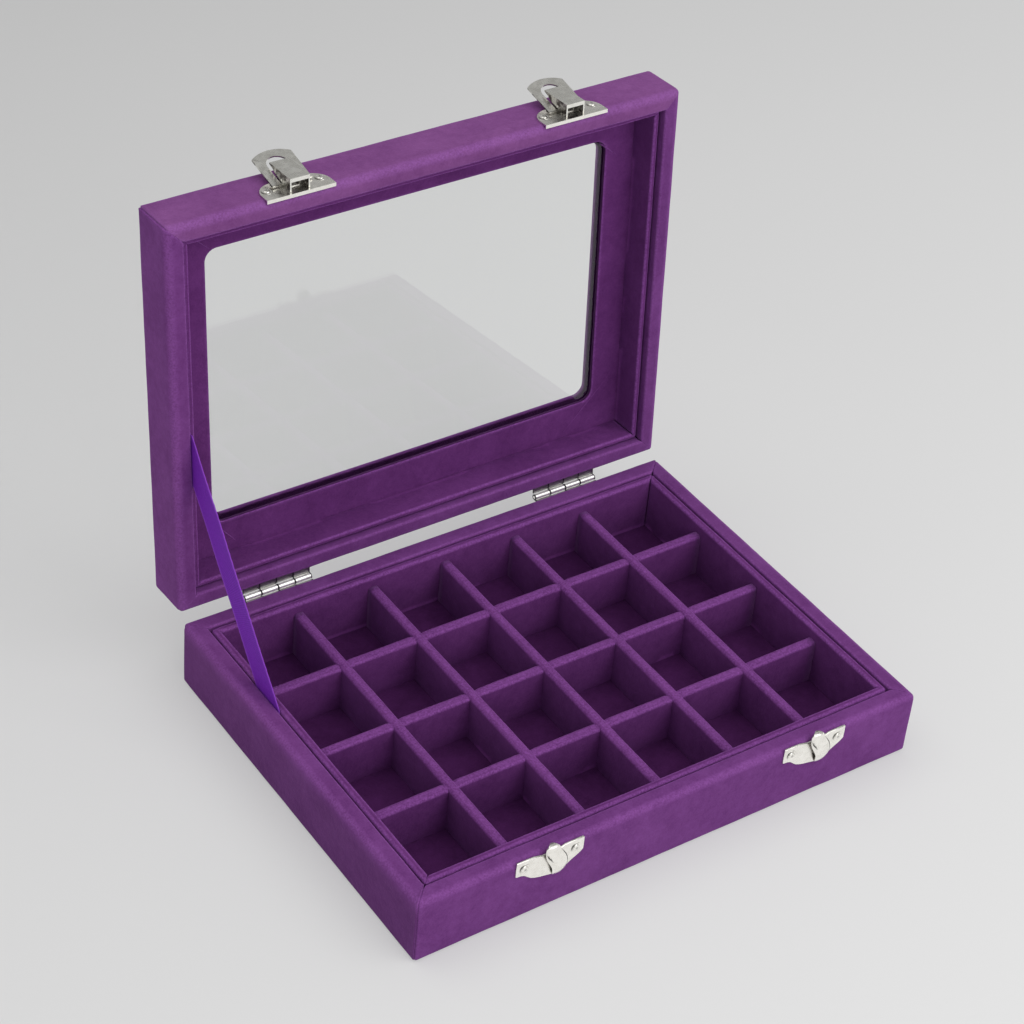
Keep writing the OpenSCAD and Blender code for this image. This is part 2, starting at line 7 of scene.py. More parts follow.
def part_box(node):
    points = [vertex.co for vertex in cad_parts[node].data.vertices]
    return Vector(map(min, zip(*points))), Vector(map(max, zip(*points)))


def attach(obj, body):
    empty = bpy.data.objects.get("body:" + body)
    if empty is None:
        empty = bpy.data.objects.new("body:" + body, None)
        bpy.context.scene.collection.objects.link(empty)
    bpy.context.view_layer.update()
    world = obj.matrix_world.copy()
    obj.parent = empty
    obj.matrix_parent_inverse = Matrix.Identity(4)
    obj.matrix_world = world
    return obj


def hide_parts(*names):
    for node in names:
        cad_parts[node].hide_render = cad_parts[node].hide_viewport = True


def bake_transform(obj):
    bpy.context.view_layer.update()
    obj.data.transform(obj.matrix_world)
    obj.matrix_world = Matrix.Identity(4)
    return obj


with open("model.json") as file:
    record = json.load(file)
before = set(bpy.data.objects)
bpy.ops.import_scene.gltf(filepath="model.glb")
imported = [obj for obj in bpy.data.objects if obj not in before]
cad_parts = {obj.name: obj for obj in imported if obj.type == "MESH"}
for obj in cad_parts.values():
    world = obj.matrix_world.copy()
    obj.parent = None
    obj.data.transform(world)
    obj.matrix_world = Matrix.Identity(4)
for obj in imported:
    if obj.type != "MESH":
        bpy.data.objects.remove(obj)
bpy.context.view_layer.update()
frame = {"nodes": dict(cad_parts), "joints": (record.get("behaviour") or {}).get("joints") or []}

mm = 0.001


def middleOf(name):
    low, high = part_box(name)
    return (low.x + high.x) / 2


# Frame facts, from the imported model
hinge = next(j for j in frame["joints"] if j["name"] == "lid_hinge")
openAngle = math.radians(hinge["range_deg"][1])
hingeAxis = Vector(hinge["pos_m"])
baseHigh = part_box("base_left_wall")[1].z
baseWidth = 2 * abs(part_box("base_left_wall")[0].x)
baseDepth = 2 * abs(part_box("base_front_wall")[0].y)
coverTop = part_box("underside_cover")[1].z
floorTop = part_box("tray_floor")[1].z
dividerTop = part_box("long_divider_1")[1].z
lidWidth = 2 * abs(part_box("lid_left_rail")[0].x)

# Sizes that the CAD shares with this script; square is the radius of a corner that stays sharp
boards = {"thick": 6.5 * mm, "edge": 2.6 * mm, "inner": 1.0 * mm, "foot": 1.0 * mm, "corner": 1.5 * mm,
          "square": 0.05 * mm}
lidSizes = {"depth": 148.5 * mm, "height": 20 * mm, "reveal": 0.75 * mm, "gap": 0.3 * mm, "rim": 3 * mm,
            "cavity": 14 * mm, "windowWidth": 158 * mm, "windowDepth": 106.5 * mm, "windowShift": 1 * mm,
            "windowCorner": 4.5 * mm, "fit": 0.1 * mm, "glassTop": 17.4 * mm, "windowStep": 1 * mm}
tray = {"seam": 0.5 * mm, "liner": 3 * mm, "linerDrop": 0.2 * mm, "divider": 3.9 * mm, "rearShort": 3.4 * mm}
linerRoom = 2 * (boards["thick"] + tray["seam"])  # how much narrower the liners' outline is than the walls'
cardRoom = 2 * (boards["thick"] + lidSizes["fit"])  # the same for the cards between the walls

lidMiddle = Vector((0, baseDepth / 2 - lidSizes["reveal"] - lidSizes["depth"] / 2, baseHigh + lidSizes["gap"]))
lidPlace = (Matrix.Translation(hingeAxis) @ Matrix.Rotation(-openAngle, 4, "X")
            @ Matrix.Translation(lidMiddle - hingeAxis))


# Camera, found from the photograph's edges and the CAD's sizes
view = {"eye": (-0.4354, -0.55018, 0.63023), "look": (0.475124, 0.631928, -0.61231), "roll": 5.423, "lens": 95.696,
        "sensor": 36, "near": 0.05}


def makeCamera():
    data = bpy.data.cameras.new("viewCamera")
    data.lens = view["lens"]
    data.sensor_width = view["sensor"]
    data.clip_start = view["near"]
    camera = bpy.data.objects.new("viewCamera", data)
    bpy.context.scene.collection.objects.link(camera)
    look = Vector(view["look"]).normalized()
    level = look.cross(Vector((0, 0, 1))).normalized()
    upright = level.cross(look)
    roll = math.radians(view["roll"])
    right = level * math.cos(roll) + upright * math.sin(roll)
    turn = Matrix((right, -look.cross(right), -look)).transposed()
    camera.matrix_world = Matrix.Translation(view["eye"]) @ turn.to_4x4()
    bpy.context.scene.camera = camera


# Shader helpers
def addNode(tree, kind, **values):
    node = tree.nodes.new(kind)
    for key, value in values.items():
        setattr(node, key, value)
    return node


def link(tree, source, target):
    tree.links.new(source, target)


def setInputs(node, values):
    for key, value in values.items():
        node.inputs[key].default_value = value


def newMaterial(name):
    material = bpy.data.materials.new(name)
    material.use_nodes = True
    return material, material.node_tree, material.node_tree.nodes["Principled BSDF"]


def newGroup(name, outputs):
    tree = bpy.data.node_groups.new(name, "ShaderNodeTree")
    for label, kind in outputs.items():
        tree.interface.new_socket(name=label, in_out="OUTPUT", socket_type=kind)
    return tree, addNode(tree, "NodeGroupOutput")


def objectPlace(tree):
    return addNode(tree, "ShaderNodeTexCoord").outputs["Object"]


def attributeNode(tree, name):
    return addNode(tree, "ShaderNodeAttribute", attribute_name=name).outputs["Fac"]


def splitVector(tree, vector):
    node = addNode(tree, "ShaderNodeSeparateXYZ")
    link(tree, vector, node.inputs["Vector"])
    return node.outputs


def mathNode(tree, operation, first, second=0, clamp=False):
    node = addNode(tree, "ShaderNodeMath", operation=operation, use_clamp=clamp)
    for socket, value in zip(node.inputs, (first, second)):
        if isinstance(value, (int, float)):
            socket.default_value = value
        else:
            link(tree, value, socket)
    return node.outputs[0]


# Sum of values, each times its weight
def weighted(tree, *terms):
    total, *others = (mathNode(tree, "MULTIPLY", value, weight) for value, weight in terms)
    for other in others:
        total = mathNode(tree, "ADD", total, other)
    return total


def noiseNode(tree, vector, scale, detail=2.0, rough=0.5, distortion=0.0):
    node = addNode(tree, "ShaderNodeTexNoise")
    setInputs(node, {"Scale": scale, "Detail": detail, "Roughness": rough, "Distortion": distortion})
    link(tree, vector, node.inputs["Vector"])
    return node.outputs["Fac"]


def rangeNode(tree, value, low, high, toLow=0.0, toHigh=1.0):
    node = addNode(tree, "ShaderNodeMapRange", clamp=True)
    link(tree, value, node.inputs["Value"])
    setInputs(node, {"From Min": low, "From Max": high, "To Min": toLow, "To Max": toHigh})
    return node.outputs["Result"]


def mixColor(tree, factor, first, second):
    node = addNode(tree, "ShaderNodeMix", data_type="RGBA")
    for key, value in (("Factor", factor), ("A", first), ("B", second)):
        if isinstance(value, (int, float)):
            node.inputs[key].default_value = value
        elif isinstance(value, tuple):
            node.inputs[key].default_value = (*value, 1)
        else:
            link(tree, value, node.inputs[key])
    return node.outputs["Result"]


def mixShader(tree, factor, first, second):
    node = addNode(tree, "ShaderNodeMixShader")
    for socket, source in zip(node.inputs, (factor, first, second)):
        link(tree, source, socket)
    return node.outputs["Shader"]


def bumpNode(tree, height, strength, distance):
    node = addNode(tree, "ShaderNodeBump")
    setInputs(node, {"Strength": strength, "Distance": distance})
    link(tree, height, node.inputs["Height"])
    return node.outputs["Normal"]


# Lays one more colour over the colour that a material has
def overColor(tree, shader, factor, color):
    plain = shader.inputs["Base Color"].links[0].from_socket
    link(tree, mixColor(tree, factor, plain, color), shader.inputs["Base Color"])


# Studio: a pale floor with painted shade that darkens it towards the back left, a pale room and three large soft
# lights
studio = {"floorTone": 0.760, "floorLightToRight": 0.080, "floorShadeToBack": -0.320, "toneLimits": (0.5, 0.9),
          "grain": 3, "grainTone": (0.99, 1.01), "floorRough": 0.9, "floorSpecular": 0.2, "floorHalf": 4.0,
          "floorGlow": 0.5, "floorLevel": 0.92, "mirrorFloor": 0.97, "room": 0.50, "backdrop": 0.60,
          "mirrorRoom": 0.40, "lampSize": 1.6, "lampAim": (0, 0, 0.05),
          "lamps": {"key": ((0.7, -1.0, 1.6), 12), "fill": ((-0.1, -1.8, 0.8), 8), "top": ((-0.5, 0.5, 1.8), 7)}}


# Rays mirrored by metal or glass, without those that went through the pane
def mirrored(tree, path):
    direct = mathNode(tree, "SUBTRACT", 1, path.outputs["Is Transmission Ray"])
    return mathNode(tree, "MULTIPLY", path.outputs["Is Glossy Ray"], direct)


def makeRoom(scene):
    world = bpy.data.worlds.new("paleRoom")
    world.use_nodes = True
    tree = world.node_tree
    path = addNode(tree, "ShaderNodeLightPath")
    room, backdrop, mirror = ((studio[key],) * 3 for key in ("room", "backdrop", "mirrorRoom"))
    seen = mixColor(tree, path.outputs["Is Camera Ray"], room, backdrop)
    seen = mixColor(tree, mirrored(tree, path), seen, mirror)
    link(tree, seen, tree.nodes["Background"].inputs["Color"])
    scene.world = world


def makeLights(scene):
    for name, (at, watts) in studio["lamps"].items():
        data = bpy.data.lights.new(name + "Light", "AREA")
        data.shape = "DISK"
        data.size = studio["lampSize"]
        data.energy = watts
        lamp = bpy.data.objects.new(name + "Light", data)
        scene.collection.objects.link(lamp)
        lamp.location = at
        aim = Vector(studio["lampAim"]) - Vector(at)
        lamp.rotation_euler = aim.to_track_quat("-Z", "Y").to_euler()


# The floor gives off part of its own tone to the camera, which keeps the object's shadow as light as in the photo
def makeFloor(scene):
    half = studio["floorHalf"]
    mesh = bpy.data.meshes.new("studioFloor")
    mesh.from_pydata([(-half, -half, 0), (half, -half, 0), (half, half, 0), (-half, half, 0)], [], [(0, 1, 2, 3)])
    floor = bpy.data.objects.new("studioFloor", mesh)
    scene.collection.objects.link(floor)
    material, tree, shader = newMaterial("paleFloor")
    place = objectPlace(tree)
    apart = splitVector(tree, place)
    # Painted light and shade: the floor's colour grows lighter to the right and darker towards the back
    tone = weighted(tree, (apart["X"], studio["floorLightToRight"]), (apart["Y"], studio["floorShadeToBack"]))
    low, high = studio["toneLimits"]
    tone = mathNode(tree, "MAXIMUM", mathNode(tree, "ADD", tone, studio["floorTone"]), low)
    tone = mathNode(tree, "MINIMUM", tone, high)
    grain = rangeNode(tree, noiseNode(tree, place, studio["grain"]), 0.2, 0.8, *studio["grainTone"])
    tone = mathNode(tree, "MULTIPLY", tone, grain)
    link(tree, tone, shader.inputs["Base Color"])
    setInputs(shader, {"Roughness": studio["floorRough"], "Specular IOR Level": studio["floorSpecular"]})
    # Painted light: the floor glows with part of its tone to the camera and through the glass
    path = addNode(tree, "ShaderNodeLightPath")
    seen = mathNode(tree, "MAXIMUM", path.outputs["Is Camera Ray"], path.outputs["Is Transmission Ray"])
    own = addNode(tree, "ShaderNodeEmission")
    link(tree, mathNode(tree, "MULTIPLY", tone, studio["floorLevel"]), own.inputs["Color"])
    soft = mixShader(tree, mathNode(tree, "MULTIPLY", seen, studio["floorGlow"]), shader.outputs[0], own.outputs[0])
    # Painted reflection: seen in metal and glass, the floor glows nearly white
    bright = addNode(tree, "ShaderNodeEmission")
    setInputs(bright, {"Color": (*(studio["mirrorFloor"],) * 3, 1)})
    surface = mixShader(tree, mirrored(tree, path), soft, bright.outputs[0])
    link(tree, surface, tree.nodes["Material Output"].inputs["Surface"])
    mesh.materials.append(material)


def makeStudio():
    scene = bpy.context.scene
    scene.view_settings.view_transform = "Standard"
    makeRoom(scene)
    makeLights(scene)
    makeFloor(scene)


# Velvet: patches where it is brushed, mottling, single fibres, and paler edges from crushed pile and a painted
# highlight
# A noise is given as scale, detail, roughness and distortion, here and in the other materials
pileFacts = {"patches": (55, 3, 0.55, 0.4), "mottle": (330, 3, 0.6), "fibres": (1500, 2, 0.7),
             "napShares": (0.34, 0.30, 0.36), "heightShares": (0.5, 0.8), "bump": 0.45, "relief": 0.22 * mm,
             "wornAndLit": 0.6, "shadeTone": 0.3}
velvetSockets = {"Roughness": 0.92, "Specular IOR Level": 0.06, "Sheen Roughness": 0.42,
                 "Sheen Tint": (0.80, 0.36, 0.98, 1)}


def pileGroup():
    tree, out = newGroup("pileGroup", {"Nap": "NodeSocketFloat", "Fibre": "NodeSocketFloat",
                                       "Normal": "NodeSocketVector"})
    place = objectPlace(tree)
    patches = rangeNode(tree, noiseNode(tree, place, *pileFacts["patches"]), 0.35, 0.65)
    mottle = rangeNode(tree, noiseNode(tree, place, *pileFacts["mottle"]), 0.3, 0.7)
    grain = rangeNode(tree, noiseNode(tree, place, *pileFacts["fibres"]), 0.25, 0.75)
    height = weighted(tree, *zip((grain, mottle), pileFacts["heightShares"]))
    link(tree, weighted(tree, *zip((patches, mottle, grain), pileFacts["napShares"])), out.inputs["Nap"])
    link(tree, grain, out.inputs["Fibre"])
    link(tree, bumpNode(tree, height, pileFacts["bump"], pileFacts["relief"]), out.inputs["Normal"])
    return tree


def velvetMaterial(group, name, dark, light, wornAndLit, sheen):
    material, tree, shader = newMaterial(name)
    pile = addNode(tree, "ShaderNodeGroup", node_tree=group)
    color = mixColor(tree, pile.outputs["Nap"], dark, light)
    # Paler fibres where the pile is crushed, with a painted highlight along the rounded edges
    paleFibres = rangeNode(tree, pile.outputs["Fibre"], 0.2, 0.9, 0.25, 1.0)
    paleFibres = mathNode(tree, "MULTIPLY", attributeNode(tree, "wearSheenAndSelvedge"), paleFibres)
    color = mixColor(tree, mathNode(tree, "MULTIPLY", paleFibres, pileFacts["wornAndLit"]), color, wornAndLit)
    color = mixColor(tree, attributeNode(tree, "shade"), color, tuple(pileFacts["shadeTone"] * c for c in dark))
    link(tree, color, shader.inputs["Base Color"])
    link(tree, pile.outputs["Normal"], shader.inputs["Normal"])
    setInputs(shader, velvetSockets)
    setInputs(shader, {"Sheen Weight": sheen})
    return material


# Nickel plate: cloudy sheen, fine rolling scratches and dull smudges
plateFacts = {"cloud": (380, 3, 0.6, 0.5), "scratches": (3500, 2, 0.6), "stretch": (0.2, 1.0, 1.0),
              "turn": (0.3, 0.5, 0.2), "rough": 0.16, "roughShares": (0.16, 0.10), "heightShares": (1.5, 1.0),
              "bump": 0.12, "relief": 0.08 * mm, "shadeTone": 0.05}


def plateGroup():
    tree, out = newGroup("plateGroup", {"Cloud": "NodeSocketFloat", "Rough": "NodeSocketFloat",
                                        "Normal": "NodeSocketVector"})
    place = objectPlace(tree)
    cloud = rangeNode(tree, noiseNode(tree, place, *plateFacts["cloud"]), 0.3, 0.7)
    stretch = addNode(tree, "ShaderNodeMapping")
    setInputs(stretch, {"Scale": plateFacts["stretch"], "Rotation": plateFacts["turn"]})
    link(tree, place, stretch.inputs["Vector"])
    scratch = noiseNode(tree, stretch.outputs["Vector"], *plateFacts["scratches"])
    scratch = rangeNode(tree, scratch, 0.35, 0.75)
    rough = weighted(tree, *zip((cloud, scratch), plateFacts["roughShares"]))
    height = weighted(tree, *zip((cloud, scratch), plateFacts["heightShares"]))
    link(tree, cloud, out.inputs["Cloud"])
    link(tree, mathNode(tree, "ADD", rough, plateFacts["rough"]), out.inputs["Rough"])
    link(tree, bumpNode(tree, height, plateFacts["bump"], plateFacts["relief"]), out.inputs["Normal"])
    return tree


def metalMaterial(group, name, dark, light):
    material, tree, shader = newMaterial(name)
    plate = addNode(tree, "ShaderNodeGroup", node_tree=group)
    color = mixColor(tree, plate.outputs["Cloud"], dark, light)
    color = mixColor(tree, attributeNode(tree, "shade"), color, tuple(plateFacts["shadeTone"] * c for c in dark))
    link(tree, color, shader.inputs["Base Color"])
    link(tree, plate.outputs["Rough"], shader.inputs["Roughness"])
    link(tree, plate.outputs["Normal"], shader.inputs["Normal"])
    setInputs(shader, {"Metallic": 1.0})
    return material


# Bright knuckles with painted shade on the parting lines; the flat leaves are painted dark, as if they lay in the
# gap's shadow
knuckles = {"radius": 1.16 * mm, "long": 6.65 * mm, "parting": 0.045, "partingFade": 0.01, "leafFade": 0.15 * mm,
            "leafDark": 0.75, "partingDark": 0.96, "shadow": (0.02, 0.016, 0.022), "rough": 0.36,
            "metal": ((0.86, 0.85, 0.82), (0.97, 0.965, 0.94))}


def hingeMaterial(group, name, middle):
    material = metalMaterial(group, name, *knuckles["metal"])
    tree = material.node_tree
    shader = tree.nodes["Principled BSDF"]
    place = splitVector(tree, objectPlace(tree))
    across, over = (mathNode(tree, "POWER", mathNode(tree, "SUBTRACT", place[key], level), 2)
                    for key, level in (("Y", hingeAxis.y), ("Z", hingeAxis.z)))
    away = mathNode(tree, "SQRT", mathNode(tree, "ADD", across, over))
    leaf = rangeNode(tree, away, knuckles["radius"], knuckles["radius"] + knuckles["leafFade"])
    run = mathNode(tree, "DIVIDE", mathNode(tree, "SUBTRACT", place["X"], middle), knuckles["long"])
    part = mathNode(tree, "ABSOLUTE", mathNode(tree, "SUBTRACT", mathNode(tree, "FRACT", run), 0.5))
    partingAt = 0.5 - knuckles["parting"]
    part = rangeNode(tree, part, partingAt - knuckles["partingFade"], partingAt)
    # Painted shade on the leaves and in the partings
    dim = mathNode(tree, "MAXIMUM", mathNode(tree, "MULTIPLY", leaf, knuckles["leafDark"]),
                   mathNode(tree, "MULTIPLY", part, knuckles["partingDark"]))
    overColor(tree, shader, dim, knuckles["shadow"])
    for key in ("Normal", "Roughness"):  # the plate's scratches are too coarse for the knuckles
        tree.links.remove(shader.inputs[key].links[0])
    setInputs(shader, {"Roughness": knuckles["rough"]})
    return material


# Lever: on the channel's left wall, patches of painted reflection of the dark velvet
leverFacts = {"wall": (-0.55, -0.9), "patches": (330, 2, 0.5, 0.8), "velvetReflection": (0.045, 0.036, 0.034)}


def leverMaterial(group, name, dark, light):
    material = metalMaterial(group, name, dark, light)
    tree = material.node_tree
    coord = addNode(tree, "ShaderNodeTexCoord")
    wall = rangeNode(tree, splitVector(tree, coord.outputs["Normal"])["X"], *leverFacts["wall"])
    patches = noiseNode(tree, coord.outputs["Object"], *leverFacts["patches"])
    patches = rangeNode(tree, patches, 0.42, 0.6, 1.0, 0.45)
    # Painted reflection of the dark velvet on the channel's left wall
    overColor(tree, tree.nodes["Principled BSDF"], mathNode(tree, "MULTIPLY", wall, patches), leverFacts["velvetReflection"])
    return material


boardFacts = {"pulp": (900, 4, 0.7), "dark": (0.36, 0.27, 0.17), "light": (0.50, 0.40, 0.27), "rough": 0.85}


def boardMaterial():
    material, tree, shader = newMaterial("greyBoard")
    pulp = rangeNode(tree, noiseNode(tree, objectPlace(tree), *boardFacts["pulp"]), 0.3, 0.7)
    link(tree, mixColor(tree, pulp, boardFacts["dark"], boardFacts["light"]), shader.inputs["Base Color"])
    setInputs(shader, {"Roughness": boardFacts["rough"]})
    return material


feltFacts = {"fluff": (1200, 4, 0.7), "dark": (0.018, 0.012, 0.022), "light": (0.05, 0.035, 0.06),
             "bump": 0.5, "relief": 0.3 * mm, "rough": 0.95, "sheen": 0.3}


def feltMaterial():
    material, tree, shader = newMaterial("baseFelt")
    fluff = rangeNode(tree, noiseNode(tree, objectPlace(tree), *feltFacts["fluff"]), 0.3, 0.7)
    link(tree, mixColor(tree, fluff, feltFacts["dark"], feltFacts["light"]), shader.inputs["Base Color"])
    link(tree, bumpNode(tree, fluff, feltFacts["bump"], feltFacts["relief"]), shader.inputs["Normal"])
    setInputs(shader, {"Roughness": feltFacts["rough"], "Sheen Weight": feltFacts["sheen"]})
    return material


# Glass: clear with a trace of haze, and shadows that pass through it
glassFacts = {"haze": (40, 4, 0.6), "hazeRough": 0.03, "shadow": (0.94, 0.95, 0.95, 1)}
glassSockets = {"Base Color": (0.985, 0.995, 0.99, 1), "Transmission Weight": 1.0, "IOR": 1.45}


def glassMaterial():
    material, tree, shader = newMaterial("clearGlass")
    haze = noiseNode(tree, objectPlace(tree), *glassFacts["haze"])
    link(tree, rangeNode(tree, haze, 0.45, 0.75, 0.0, glassFacts["hazeRough"]), shader.inputs["Roughness"])
    setInputs(shader, glassSockets)
    clear = addNode(tree, "ShaderNodeBsdfTransparent")
    setInputs(clear, {"Color": glassFacts["shadow"]})
    path = addNode(tree, "ShaderNodeLightPath")
    surface = mixShader(tree, path.outputs["Is Shadow Ray"], shader.outputs[0], clear.outputs[0])
    link(tree, surface, tree.nodes["Material Output"].inputs["Surface"])
    return material


# Ribbon: ribs across the run, warp along it, loose fluff and a paler selvedge
weaveFacts = {"ribs": 430, "warp": 900, "uneven": 0.4, "shares": (0.65, 0.35), "fluff": (1400, 3, 0.6),
              "fluffShares": (0.6, 0.4), "dark": (0.110, 0.009, 0.30), "light": (0.220, 0.020, 0.50),
              "selvedge": (0.34, 0.09, 0.64), "selvedgeShare": 0.6, "bump": 0.4, "relief": 0.08 * mm}
ribbonSockets = {"Roughness": 0.7, "Specular IOR Level": 0.1, "Sheen Weight": 0.12, "Sheen Tint": (0.5, 0.3, 1.0, 1)}


def ribbonMaterial():
    material, tree, shader = newMaterial("wovenRibbon")
    flat = addNode(tree, "ShaderNodeUVMap", uv_map="flat").outputs["UV"]
    yarns = []
    for direction, scale in (("Y", weaveFacts["ribs"]), ("X", weaveFacts["warp"])):
        yarn = addNode(tree, "ShaderNodeTexWave", wave_type="BANDS", bands_direction=direction, wave_profile="SIN")
        setInputs(yarn, {"Scale": scale, "Distortion": weaveFacts["uneven"]})
        link(tree, flat, yarn.inputs["Vector"])
        yarns.append(yarn.outputs["Fac"])
    weave = weighted(tree, *zip(yarns, weaveFacts["shares"]))
    fluff = rangeNode(tree, noiseNode(tree, objectPlace(tree), *weaveFacts["fluff"]), 0.3, 0.7)
    shade = weighted(tree, *zip((weave, fluff), weaveFacts["fluffShares"]))
    color = mixColor(tree, shade, weaveFacts["dark"], weaveFacts["light"])
    edge = mathNode(tree, "MULTIPLY", attributeNode(tree, "wearSheenAndSelvedge"), weaveFacts["selvedgeShare"])
    link(tree, mixColor(tree, edge, color, weaveFacts["selvedge"]), shader.inputs["Base Color"])
    link(tree, bumpNode(tree, shade, weaveFacts["bump"], weaveFacts["relief"]), shader.inputs["Normal"])
    setInputs(shader, ribbonSockets)
    return material


velvets = {  # name, dark, light, wornAndLit (paler for crushed pile and a painted highlight), sheen
    "outer": ("outerVelvet", (0.110, 0.026, 0.140), (0.205, 0.062, 0.258), (0.30, 0.10, 0.38), 0.22),
    # Painted light: the lid's front rail, which faces up, gets a lighter copy of the outer velvet
    "lidFront": ("litLidVelvet", (0.150, 0.044, 0.170), (0.255, 0.090, 0.280), (0.32, 0.12, 0.42), 0.26),
    "inner": ("innerVelvet", (0.085, 0.018, 0.108), (0.165, 0.042, 0.205), (0.36, 0.12, 0.47), 0.2),
    "floor": ("trayVelvet", (0.045, 0.009, 0.056), (0.092, 0.020, 0.112), (0.12, 0.04, 0.16), 0.15),
}
pileTree = pileGroup()
plateTree = plateGroup()
look = {key: velvetMaterial(pileTree, *facts) for key, facts in velvets.items()}
look.update({
    "nickel": metalMaterial(plateTree, "nickelPlate", (0.74, 0.72, 0.67), (0.90, 0.88, 0.83)),
    "steel": metalMaterial(plateTree, "steelWire", (0.52, 0.51, 0.48), (0.78, 0.77, 0.74)),
    "lever": leverMaterial(plateTree, "leverNickel", (0.70, 0.69, 0.64), (0.86, 0.85, 0.80)),
    "hingeLeft": hingeMaterial(plateTree, "leftHingeSteel", middleOf("hinge_left_base_leaf")),
    "hingeRight": hingeMaterial(plateTree, "rightHingeSteel", middleOf("hinge_right_base_leaf")),
    "board": boardMaterial(), "felt": feltMaterial(), "glass": glassMaterial(), "ribbon": ribbonMaterial(),
})


# Mesh helpers
def addPiece(name, points, faces, material, body, nodes=(), place=None, wearSheenAndSelvedge=None, shade=None, crisp=None):
    mesh = bpy.data.meshes.new(name)
    mesh.from_pydata([place @ p for p in points] if place else points, [], faces)
    mesh.materials.append(look[material])
    mesh.polygons.foreach_set("use_smooth", [True] * len(mesh.polygons))
    if crisp:
        mesh.set_sharp_from_angle(angle=math.radians(crisp))
    for label, values in (("wearSheenAndSelvedge", wearSheenAndSelvedge), ("shade", shade)):
        if values:
            mesh.attributes.new(label, "FLOAT", "POINT").data.foreach_set("value", values)
    mesh.update()
    piece = bpy.data.objects.new(name, mesh)
    bpy.context.scene.collection.objects.link(piece)
    if body:
        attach(piece, body)
    if nodes:
        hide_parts(*nodes)
    return piece


def unit(value):
    return min(1.0, max(0.0, value))


# Faces between rows of point numbers, each row a closed line
def bandFaces(rows, turned=False):
    faces = []
    for first, second in zip(rows, rows[1:]):
        count = len(first)
        for k in range(count):
            a, b, c, d = first[k], first[(k + 1) % count], second[(k + 1) % count], second[k]
            faces.append((a, d, c, b) if turned else (a, b, c, d))
    return faces


def tubeFaces(rings):
    return bandFaces(rings, True) + [tuple(rings[0]), tuple(reversed(rings[-1]))]


# Faces of a band with two layers, each of rows of wide points, numbered from first on
def slabFaces(first, rows, wide, turned=False):
    other = rows * wide
    faces = []
    for j in range(rows - 1):
        for k in range(first + j * wide, first + (j + 1) * wide - 1):
            for a, b, c, d in ((k, k + wide, k + wide + 1, k + 1),
                               (k + other, k + 1 + other, k + wide + 1 + other, k + wide + other)):
                faces.append((a, d, c, b) if turned else (a, b, c, d))
        for k, back in ((first + j * wide, turned), (first + (j + 1) * wide - 1, not turned)):
            strip = (k, k + other, k + other + wide, k + wide)
            faces.append(tuple(reversed(strip)) if back else strip)
    for start, back in ((first, not turned), (first + (rows - 1) * wide, turned)):
        for k in range(start, start + wide - 1):
            strip = (k, k + other, k + 1 + other, k + 1)
            faces.append(tuple(reversed(strip)) if back else strip)
    return faces


# Closed cross-section of a covered board: (inset, height, way in, way up, wear with painted highlight), outer low
# edge first
def boardSection(thick, height, radii, step):
    corners = (((0, 0), (1, 1), 180), ((thick, 0), (-1, 1), 270), ((thick, height), (-1, -1), 0),
               ((0, height), (1, -1), 90))
    arcs = []
    for (corner, inward, start), radius in zip(corners, radii):
        turns = 6 if radius > 0.4 * mm else 3
        middle = (corner[0] + inward[0] * radius, corner[1] + inward[1] * radius)
        arcs.append([(middle[0] + radius * math.cos(a), middle[1] + radius * math.sin(a), math.cos(a), math.sin(a),
                      math.sin(math.pi * k / turns))
                     for k in range(turns + 1) for a in (math.radians(start + 90 * k / turns),)])
    loop = []
    for index, arc in enumerate(arcs):
        loop.extend(arc)
        first, second = arc[-1], arcs[(index + 1) % 4][0]
        span = math.hypot(second[0] - first[0], second[1] - first[1])
        count = max(1, round(span / step))
        loop.extend((first[0] + (second[0] - first[0]) * k / count, first[1] + (second[1] - first[1]) * k / count,
                     first[2], first[3], 0.0) for k in range(1, count))
    return loop


# Unevenness of a cover: wide waves and small ones, at these scales
rippleScales = (70, 420)


def rippleAt(point, seed, coarse, fine):
    wide = noise.noise(point * rippleScales[0] + Vector((seed, 0, 0)))
    small = noise.noise(point * rippleScales[1] + Vector((0, seed, 0)))
    return wide * coarse + small * fine


# Mitred frames: stations to each end, ripple of the cover, and how a seam fades down the wall and frays
mitre = {"lead": 0.9 * mm, "spacing": 3.2 * mm, "endSteps": (0.0, 0.1, 0.2, 0.3, 0.4, 0.5, 0.62, 0.75, 0.88, 1.0),
         "ripple": (0.10 * mm, 0.03 * mm), "seamFade": 0.12, "seamLeast": 0.25, "weltAt": 1.9,
         "frayWide": 1.0 * mm, "frayDeep": 0.5 * mm}
sideNames = ("front", "right", "rear", "left")
plainSeam = {"deep": 0.25 * mm, "wide": 0.32 * mm}


# How far a cover sinks, or swells where it is less than 0, at a distance gap from the corner's seam
def seamSink(seam, gap, share, swells):
    reach = unit((share - seam.get("above", -1.0)) / mitre["seamFade"])
    reach *= min(1.0, mitre["seamLeast"] + max(0.0, share) / mitre["seamFade"])
    sink = seam["deep"] * math.exp(-(gap / seam["wide"]) ** 2)
    if swells:
        sink -= seam.get("welt", 0.0) * math.exp(-((gap - mitre["weltAt"] * seam["wide"]) / seam["wide"]) ** 2)
    return reach * sink


